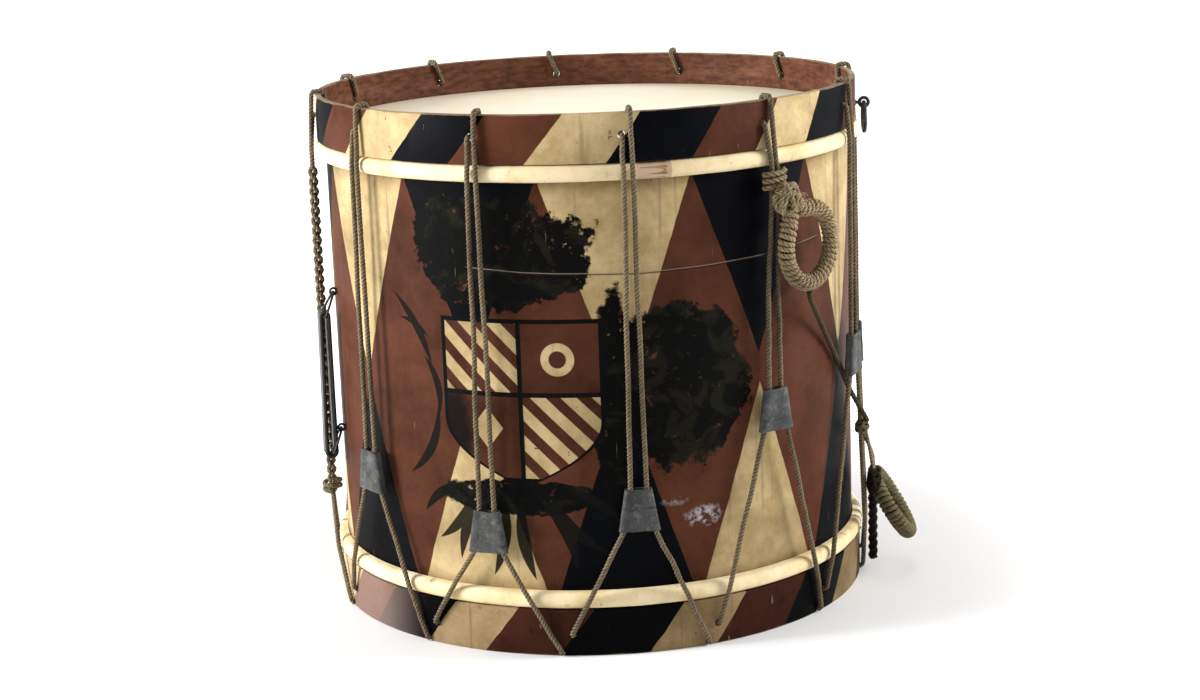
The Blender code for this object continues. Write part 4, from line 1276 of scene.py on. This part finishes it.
class MakeCounterHoops(bpy.types.Operator):
    """Striped counter hoops with their rope holes and notches"""

    bl_idname = "drum.counter_hoops"
    bl_label = "Counter hoops"

    def execute(self, context):
        c = 0.0009
        profile = [
            (HOOP_IN, GAP), (HOOP_OUT - 0.0005, GAP), (HOOP_OUT, 0.0008),
            (HOOP_OUT, HOOP_HEIGHT - c), (HOOP_OUT - c * 0.4, HOOP_HEIGHT - c * 0.3),
            (HOOP_OUT - c * 1.3, HOOP_HEIGHT), (HOOP_IN + c, HOOP_HEIGHT),
            (HOOP_IN, HOOP_HEIGHT - c * 0.8),
        ]

        def worn(angle, r, z, i):
            t = math.radians(angle)
            rub = noise.noise(Vector((math.sin(t) * 9, math.cos(t) * 9, 0.3)))
            return r, z - (0.0004 * max(rub, 0.0) if z > HOOP_HEIGHT - 0.0005 else 0.0)

        for which in ("upper", "lower"):
            name = f"{which}_hoop_wood"
            mesh = turned(name, profile, sizes().facets, worn)
            if which == "upper":
                mesh.transform(at(0, 0, HEIGHT - HOOP_HEIGHT))
            else:
                upside_down(mesh, HOOP_HEIGHT)
            made, cutters = shown(name, mesh), self.cutters(which)
            modifier = made.modifiers.new("cuts", "BOOLEAN")
            modifier.solver = "EXACT"
            modifier.object = cutters
            mesh = with_modifiers(made)
            bpy.data.objects.remove(cutters, do_unlink=True)
            nodes, finish = [f"{which}_counter_hoop"], f"painted_{which}_hoop"
            piece(name, mesh, "drum", nodes, finish, smooth=35)
        return {"FINISHED"}

    def cutters(self, which):
        """Rods through the hoop for its rope holes, notches and small holes."""
        bm = bmesh.new()

        def cut(angle, offset, height, radius):
            place = around(angle) @ at((HOOP_IN + HOOP_OUT) / 2, offset, height)
            rod(bm, place, radius, radius, 0.02)

        for angle in POSITIONS:
            if which == "upper":
                cut(angle, -TOP_SPREAD, HEIGHT - HOLE_INSET, 0.0031)
            else:
                cut(angle - 15.0, BOTTOM_SPREAD, HOLE_INSET, 0.0031)
                cut(angle - 15.0, -BOTTOM_SPREAD, 0.0023, 0.0027)
        if which == "upper":
            cut(CARRY_ANGLE, 0.0, HEIGHT - CARRY_DROP, 0.0017)
        else:
            for angle in (90.0, -90.0):
                for side in (-1, 1):
                    cut(angle, side * 0.006, 0.0258, 0.0013)
        return shown("cutters", mesh_of(bm, "cutters"))


class MakeHeads(bpy.types.Operator):
    """Calfskin heads, each lapped round its flesh hoop in an uneven roll"""

    bl_idname = "drum.heads"
    bl_label = "Heads"

    def execute(self, context):
        for which in ("upper", "lower"):
            face, low, high = HEAD_LEVEL, HEIGHT - HOOP_HEIGHT - ROLL_HEIGHT, HEIGHT - HOOP_HEIGHT
            mid, half = (low + high) / 2, (high - low) / 2 - 0.0001
            centre, bulge = ROLL_OUT - ROLL_BULGE, ROLL_BULGE
            profile = [(r, face) for r in (0.0, 0.05, 0.10, 0.15, 0.19, 0.2071)]
            profile += [
                (0.2086, face - 0.0003), (0.2097, face - 0.0012), (0.2101, face - 0.0028),
                (0.2101, high + 0.0002),
            ]
            outside = []
            for step in range(15):
                a = math.pi / 2 - math.pi * step / 14
                squared = 1.0 / (abs(math.cos(a)) ** 2.3 + abs(math.sin(a)) ** 2.3) ** (1 / 2.3)
                outside.append((
                    centre + bulge * squared * math.cos(a), mid + half * squared * math.sin(a)
                ))
            first_roll = len(profile)
            profile += outside
            last_roll = len(profile)
            profile += [
                (0.2098, low), (0.2094, low + 0.001), (0.2094, face - 0.0040),
                (0.2088, face - 0.0012), (0.2070, face - SKIN), (0.0, face - SKIN),
            ]

            def shape(angle, r, z, i):
                t = math.radians(angle)
                if r < 1e-9:
                    return r, z
                if not first_roll <= i < last_roll:
                    if i >= last_roll + 4 or i < 6:
                        spot = Vector((r * 20 * math.cos(t), r * 20 * math.sin(t), 2.0))
                        inwards = min(1.0, (0.2071 - min(r, 0.2071)) / 0.03)
                        return r, z + 0.00035 * noise.noise(spot) * inwards
                    return r, z
                level = z * 60 + (0 if which == "upper" else 9)
                spot = Vector((math.cos(t) * 11, math.sin(t) * 11, level))
                lump = noise.noise(spot) * 0.7 + noise.noise(spot * 3.1) * 0.35
                lap = 1.0 if which == "upper" and 9.0 < (angle + 180) % 360 - 180 < 16.0 else 0.0
                out = lump * 0.00055 - 0.00055 - lap * 0.0007
                uneven = noise.noise(spot * 0.8 + Vector((0, 0, 4))) * 0.035
                squeeze = 1.0 - lap * 0.10 + uneven - 0.035
                return r + out * max(0.0, (r - 0.2110) / 0.0068), mid + (z - mid) * squeeze

            mesh = turned(f"{which}_skin", profile, sizes().facets * 3 // 2, shape)
            if which == "lower":
                upside_down(mesh, HEIGHT)
            node = "batter_head" if which == "upper" else "snare_head"
            piece(f"{which}_skin", mesh, "drum", [node], "calfskin", smooth=50)
        return {"FINISHED"}


class MakeLacing(bpy.types.Operator):
    """The whole tension rope, its splice and the twisted pair"""

    bl_idname = "drum.lacing"
    bl_label = "Lacing"

    def execute(self, context):
        rope_piece(
            "lacing", lacing_route(), ROPE / 2 * 1.08, sizes().lay, "lacing_hemp",
            ["tension_rope"], closed=True, step=0.00165,
        )
        angle, pitch = POSITIONS[TWISTED_PAIR], ROPE + 0.0006
        across, deep, up = bearings(angle)
        turns = turns_round(
            beside(angle, ROPE_RUN, 0.0, 0.088 - pitch), across, deep, up * pitch,
            0.0066, 0.0066, 2, per_turn=20,
        )
        rope_piece(
            "splice_lashing", turns, ROPE / 2, sizes().lay, "lacing_hemp", ["rope_splice"],
            step=0.0010,
        )
        return {"FINISHED"}


class MakeEars(bpy.types.Operator):
    """Leather ears that slide on the paired strands"""

    bl_idname = "drum.ears"
    bl_label = "Tension ears"

    def execute(self, context):
        for index, foot in enumerate(EAR_FEET):
            if foot is None:
                continue
            number = f"{index + 1:02d}"
            mesh = self.sleeve(index)
            mesh.transform(around(POSITIONS[index]) @ at(ROPE_RUN, 0.0, foot))
            piece(
                f"leather_ear_{number}", mesh, f"ear_{number}", [f"tension_ear_{number}"],
                "ear_leather", smooth=50,
            )
        return {"FINISHED"}

    def sleeve(self, seed):
        """A flat tapered sleeve: its outer skin is pinched and creased, its inner one is open."""
        rows, across = 15, 40
        bm = bmesh.new()
        skins = []
        for leather, hug in ((EAR_LEATHER, 0.22), (0.0, 0.04)):
            grid = []
            for row in range(rows + 1):
                share = row / rows
                height = EAR_HEIGHT * share
                spread = EAR_FOOT_SPREAD * (1 - share) + EAR_TOP_SPREAD * share
                half_width = spread + ROPE / 2 + 0.0006 + leather
                half_depth = ROPE / 2 + 0.0006 + leather
                ring = []
                for step in range(across):
                    a = math.tau * step / across
                    ca, sa = math.cos(a), math.sin(a)
                    squared = 1.0 / (abs(ca) ** 5 + abs(sa) ** 5) ** 0.2
                    y, x = half_width * squared * ca, half_depth * squared * sa
                    middle = (1 - abs(y) / half_width) ** 0.8
                    pinch = 1.0 - hug * middle * (0.6 + 0.4 * math.sin(share * math.pi))
                    spot = Vector((y * 90 + seed * 5, x * 60, height * 90))
                    crease = noise.noise(spot) * 0.00034 + noise.noise(spot * 0.35) * 0.00040
                    out = (crease if x > 0 else -crease) if leather else 0.0
                    edge = 0.0008 * noise.noise(Vector((y * 160, seed * 3.0, row)))
                    lift = edge if row in (0, rows) else 0.0
                    level = min(max(height + lift, 0.0), EAR_HEIGHT)
                    ring.append(bm.verts.new((x * pinch + out, y, level)))
                grid.append(ring)
            skins.append(grid)
            skinned(bm, grid)
        for row in (0, rows):
            skinned(bm, [skins[0][row], skins[1][row]])
        return mesh_of(bm, "sleeve")


class MakeIron(bpy.types.Operator):
    """Carrying ring and its eye, the handle's eyes and wire links"""

    bl_idname = "drum.iron"
    bl_label = "Ironwork"

    def execute(self, context):
        height, centre = HEIGHT - CARRY_DROP, HOOP_OUT + CARRY_REACH
        self.eye(
            "carrying_eye", CARRY_ANGLE, height, HOOP_OUT, centre, CARRY_LOOP, CARRY_WIRE,
            HOOP_IN + GAP,
        )
        hang = height - CARRY_LOOP + CARRY_WIRE + RING_WIRE + GAP - RING_RADIUS
        place = around(CARRY_ANGLE) @ at(centre, 0.0, hang)
        angles = [math.tau * i / 48 for i in range(48)]
        points = [
            place @ Vector((0, RING_RADIUS * math.cos(a), RING_RADIUS * math.sin(a)))
            for a in angles
        ]
        self.wire("carrying_ring_iron", points, RING_WIRE, "ring", "carrying_ring")
        centre = SHELL_OUT + HANDLE_REACH
        half = [
            (0.0, 0.0), (0.0018, -0.0001), (0.0034, -0.0012), (0.0108, -0.0172),
            (0.0110, -0.0186), (0.0102, -0.0197), (0.0090, -LINK_LENGTH), (0.0, -LINK_LENGTH),
        ]
        outline = half + [(-y, z) for y, z in half[-2:0:-1]]
        for which, height in EYE_HEIGHTS.items():
            self.eye(
                f"{which}_handle_eye", HANDLE_ANGLE, height, SHELL_OUT, centre, EYE_LOOP, EYE_WIRE,
                SHELL_OUT - 0.006,
            )
            hinge = height - EYE_LOOP + EYE_WIRE + LINK_WIRE + GAP
            place = around(HANDLE_ANGLE) @ at(centre, 0.0, hinge)
            place = place @ Matrix.Rotation(-LINK_LEAN, 4, "Y")
            points = [place @ Vector((0, y, z)) for y, z in outline]
            self.wire(
                f"{which}_link_iron", points, LINK_WIRE, f"{which}_link", f"{which}_handle_link"
            )
        return {"FINISHED"}

    def wire(self, name, points, radius, body, node):
        mesh = rounded_wire(name, points, radius)
        piece(name, mesh, body, [node], "blackened_iron", smooth=60)

    def eye(self, node, angle, height, base, centre, loop, wire, inner_end):
        """A wire loop with its shank through the wood and a collar against it."""
        name, place = f"{node}_iron", around(angle)
        angles = [math.tau * i / 32 for i in range(32)]
        ring = [
            place @ Vector((centre + loop * math.cos(a), 0, height + loop * math.sin(a)))
            for a in angles
        ]
        parts = [rounded_wire(name, ring, wire)]
        bm = bmesh.new()
        for start, end, one, two in (
            (inner_end, centre - loop + wire * 0.3, 0.96, 0.96),
            (base + GAP, base + GAP + wire * 0.8, 1.8, 1.5),
        ):
            rod(bm, place @ at((start + end) / 2, 0, height), wire * one, wire * two, end - start)
        parts.append(mesh_of(bm, name))
        piece(name, joined(name, parts), "drum", [node], "blackened_iron", smooth=50)


class MakeHandle(bpy.types.Operator):
    """Black leather handle strap, one closed loop through both links"""

    bl_idname = "drum.handle"
    bl_label = "Handle strap"

    def execute(self, context):
        ply, belly, half, c = 0.0032, 0.0022, 0.007, 0.0011
        hinge = EYE_HEIGHTS["upper"] - EYE_LOOP + EYE_WIRE + LINK_WIRE + GAP
        out = SHELL_OUT + HANDLE_REACH + LINK_LENGTH * math.sin(LINK_LEAN)
        place = around(HANDLE_ANGLE) @ at(out, 0, hinge - LINK_LENGTH * math.cos(LINK_LEAN))
        high, low = Vector((0, 0)), Vector((0.0009, EYE_HEIGHTS["lower"] - EYE_HEIGHTS["upper"]))

        def on_arc(centre, radius, angle):
            return centre + radius * Vector((math.cos(angle), math.sin(angle)))

        def loop(grow):
            """Round the upper link, down, round the lower link and up again."""
            small, large = LINK_WIRE + GAP + grow, belly + grow
            spread = math.asin((large - small) / low.length)
            heading = math.atan2(low.y, low.x)
            outer = heading + math.pi / 2 + spread
            inner = heading - math.pi / 2 - spread + math.tau
            points = []
            for centre, radius, start, end, steps, following in (
                (high, small, outer, inner, 14, on_arc(low, large, inner)),
                (low, large, inner, outer + math.tau, 18, on_arc(high, small, outer)),
            ):
                for step in range(steps + 1):
                    points.append(on_arc(centre, radius, start + (end - start) * step / steps))
                last = points[-1]
                points += [last.lerp(following, i / 12) for i in range(1, 12)]
            return points

        side = [
            (0.0, c - half), (0.00035, c * 0.35 - half), (c, -half), (ply - c, -half),
            (ply - 0.00035, c * 0.35 - half), (ply, c - half), (ply - 0.0002, -half * 0.5),
        ]
        section = [(0.0, 0.0), *side, (ply - 0.0001, 0.0)] + [(grow, -y) for grow, y in side[::-1]]
        bm = bmesh.new()
        rows = []
        for grow, y in section:
            rows.append([
                bm.verts.new((p.x, y + 0.0006 * math.sin(i * 0.13), p.y))
                for i, p in enumerate(loop(grow))
            ])
        skinned(bm, rows + rows[:1])
        mesh = mesh_of(bm, "handle_leather")
        mesh.transform(place)
        piece(
            "handle_leather", mesh, "strap", ["handle_strap"], "strap_leather",
            smooth=50,
        )
        return {"FINISHED"}


class MakeSnare(bpy.types.Operator):
    """Doubled gut under the lower head"""

    bl_idname = "drum.snare"
    bl_label = "Snare"

    def execute(self, context):
        thick, half, height = 0.0018, 0.006, 0.0270 - GAP - 0.0009
        bend, end = HOOP_OUT + GAP + thick / 2, -HOOP_OUT - 0.003
        points = [Vector((x, y, height)) for x, y in (
            (end, -half), (0.0, -half), (bend - thick, -half), (bend + thick / 3, thick - half),
            (bend + thick / 3, half - thick), (bend - thick, half), (0.0, half), (end, half),
        )]
        rope_piece(
            "snare_gut", points, thick / 2, 0.006, "twisted_gut", ["gut_snare"], slot="gut",
            strands=2, across=8,
        )
        return {"FINISHED"}


class MakeSling(bpy.types.Operator):
    """Drag rope: lashing, two whipped grips, the run between them, its hitch and tail"""

    bl_idname = "drum.sling"
    bl_label = "Sling"

    def execute(self, context):
        lay = sizes().sling_lay
        for which, (place, opens_at, leads) in GRIPS.items():
            self.grip(which, place, opens_at, leads, lay)
        self.knots(lay)
        self.hitch(lay)
        run = smooth_route(on_wall(SLING_RUN), 8)
        made = rope_piece("sling_run_rope", run, SLING / 2, lay, "run_hemp", ["sling_run"])
        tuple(run[0])
        route_length(run)
        # The tail and its knob wear the shadowed hemp: the rope darkened as painted shade, where it
        # hangs in shadow
        tail = smooth_route(on_wall(SLING_TAIL), 8)
        made = rope_piece(
            "sling_tail_rope", tail, 0.0041, 0.021, "tail_hemp", ["sling_tail"], "dark_hemp",
            step=0.0014, groove=0.34,
        )
        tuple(tail[0])
        route_length(tail)
        centre = beside(77.0, 0.2288, 0.0, 0.0795)
        knob = tangle(centre, *bearings(77.0), (0.0085, 0.0042, 0.0080), 6, 1.1, 2.7)
        rope_piece("sling_tail_knob", knob, 0.0022, lay, "tail_hemp", [], "dark_hemp")
        return {"FINISHED"}

    def grip(self, which, place, opens_at, leads, lay):
        """The rope bent to a ring, a dark filler as painted shade, and the cord whipped round both.
        """
        front, thick = which == "front", sizes().whipping
        ring = grip_ring(place, opens_at)
        first, last = [
            smooth_route([end] + on_wall(lead), 6)[1:]
            for end, lead in zip((ring[0], ring[-1]), leads)
        ]
        route = first[::-1] + ring + last
        covered = route[3:-3] if front else first[2::-1] + ring + last[:3]
        name = f"{which}_grip"
        core = rope_piece(f"{name}_rope", route, 0.0017, lay, "sling_hemp", [f"{name}_core"])
        # A near-black filler under the whipping: painted shade that shows in the gaps between its
        # turns
        rope_piece(f"{name}_padding", covered[1:-1], 0.0034, lay, "tail_hemp", [], step=0.0016)
        outward = (place.to_3x3() @ Vector((1, 0, 0))).normalized()
        pitch = sizes().whipping_pitch * (1.0 if front else 0.93)
        wound = winding(covered, outward, GRIP_HALF - thick / 2, pitch, 3.0)
        whipping = rope_piece(
            f"{name}_cord", wound, thick / 2, 0.0085, "whipping_hemp" if front else "side_hemp",
            [f"{name}_whipping"], step=0.0011, across=9, groove=0.10,
        )
        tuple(route[0])
        route_length(route)

    def knots(self, lay):
        """Three turns round the pair of strands, then a lump with stray fibres."""
        angle = POSITIONS[KNOTTED_PAIR]
        across, deep, up = bearings(angle)
        high = HEIGHT - HOOP_HEIGHT - ROLL_HEIGHT - GAP - SLING / 2
        lashing = turns_round(
            beside(angle, ROPE_RUN, 0.0034, high), across, deep, -up * (SLING + 0.0004),
            0.0090, 0.0052, 3,
        )
        lump = (beside(39.1, 0.2305, 0.0, 0.3358), *bearings(39.6))
        lashing += tangle(*lump, (0.0116, 0.0062, 0.0104), 8, 1.25, 0.4)
        parts = [laid_rope(
            "sling_knots", lashing, SLING / 2 * 0.96, lay, "sling_hemp", step=0.0010, groove=0.24
        )]
        parts += stray_fibres(*lump, (0.0132, 0.0078, 0.0118), 16, random.Random(8))
        mesh = joined("sling_knots", parts)
        piece("sling_knots", mesh, "drum", ["sling_lashing"], "sling_hemp")

    def hitch(self, lay):
        """A small knot on the right strand of the third pair, below its ear."""
        upper = strand(HITCHED_PAIR, 1)[0]
        lower = bottom_bight(POSITIONS[HITCHED_PAIR] + 15.0)[0]
        along = (upper - lower).normalized()
        centre = lower + along * (0.127 - lower.z) / along.z
        outward = Vector((centre.x, centre.y, 0.0)).normalized()
        across = along.cross(outward).normalized()
        deep = across.cross(along).normalized()
        centre = centre + along * 0.0030 + outward * 0.0022
        turns = tangle(centre, across, deep, along, (0.0044, 0.0044, 0.0060), 4, 1.0, 1.9)
        rope_piece(
            "sling_hitch_rope", turns, 0.0018, lay, "side_hemp", ["sling_hitch"], step=0.0010
        )


class DrumPanel(bpy.types.Panel):
    """Lists the drum's pieces, sizes and colours in the sidebar"""

    bl_label = "Military side drum"
    bl_idname = "VIEW3D_PT_drum"
    bl_space_type = "VIEW_3D"
    bl_region_type = "UI"
    bl_category = "Drum"

    def draw(self, context):
        for operator in OPERATORS:
            self.layout.operator(operator.bl_idname)
        for name in SETTINGS:
            group = getattr(context.scene, name)
            for key in group.__annotations__:
                self.layout.prop(group, key)


OPERATORS = (
    MakeStage, MakeShell, MakeCounterHoops, MakeHeads, MakeLacing, MakeEars, MakeIron, MakeHandle,
    MakeSnare, MakeSling,
)
SETTINGS = {"drum_sizes": DrumSizes, "drum_colours": DrumColours, "drum_stage": StageSettings}
CLASSES = (*SETTINGS.values(), *OPERATORS, DrumPanel)


def register():
    for made in CLASSES:
        bpy.utils.register_class(made)
    for name, group in SETTINGS.items():
        setattr(bpy.types.Scene, name, PointerProperty(type=group))


def unregister():
    for name in SETTINGS:
        delattr(bpy.types.Scene, name)
    for made in reversed(CLASSES):
        bpy.utils.unregister_class(made)


def main():
    register()
    for operator in OPERATORS:
        group, name = operator.bl_idname.split(".")
        getattr(getattr(bpy.ops, group), name)()


if __name__ == "__main__":
    main()
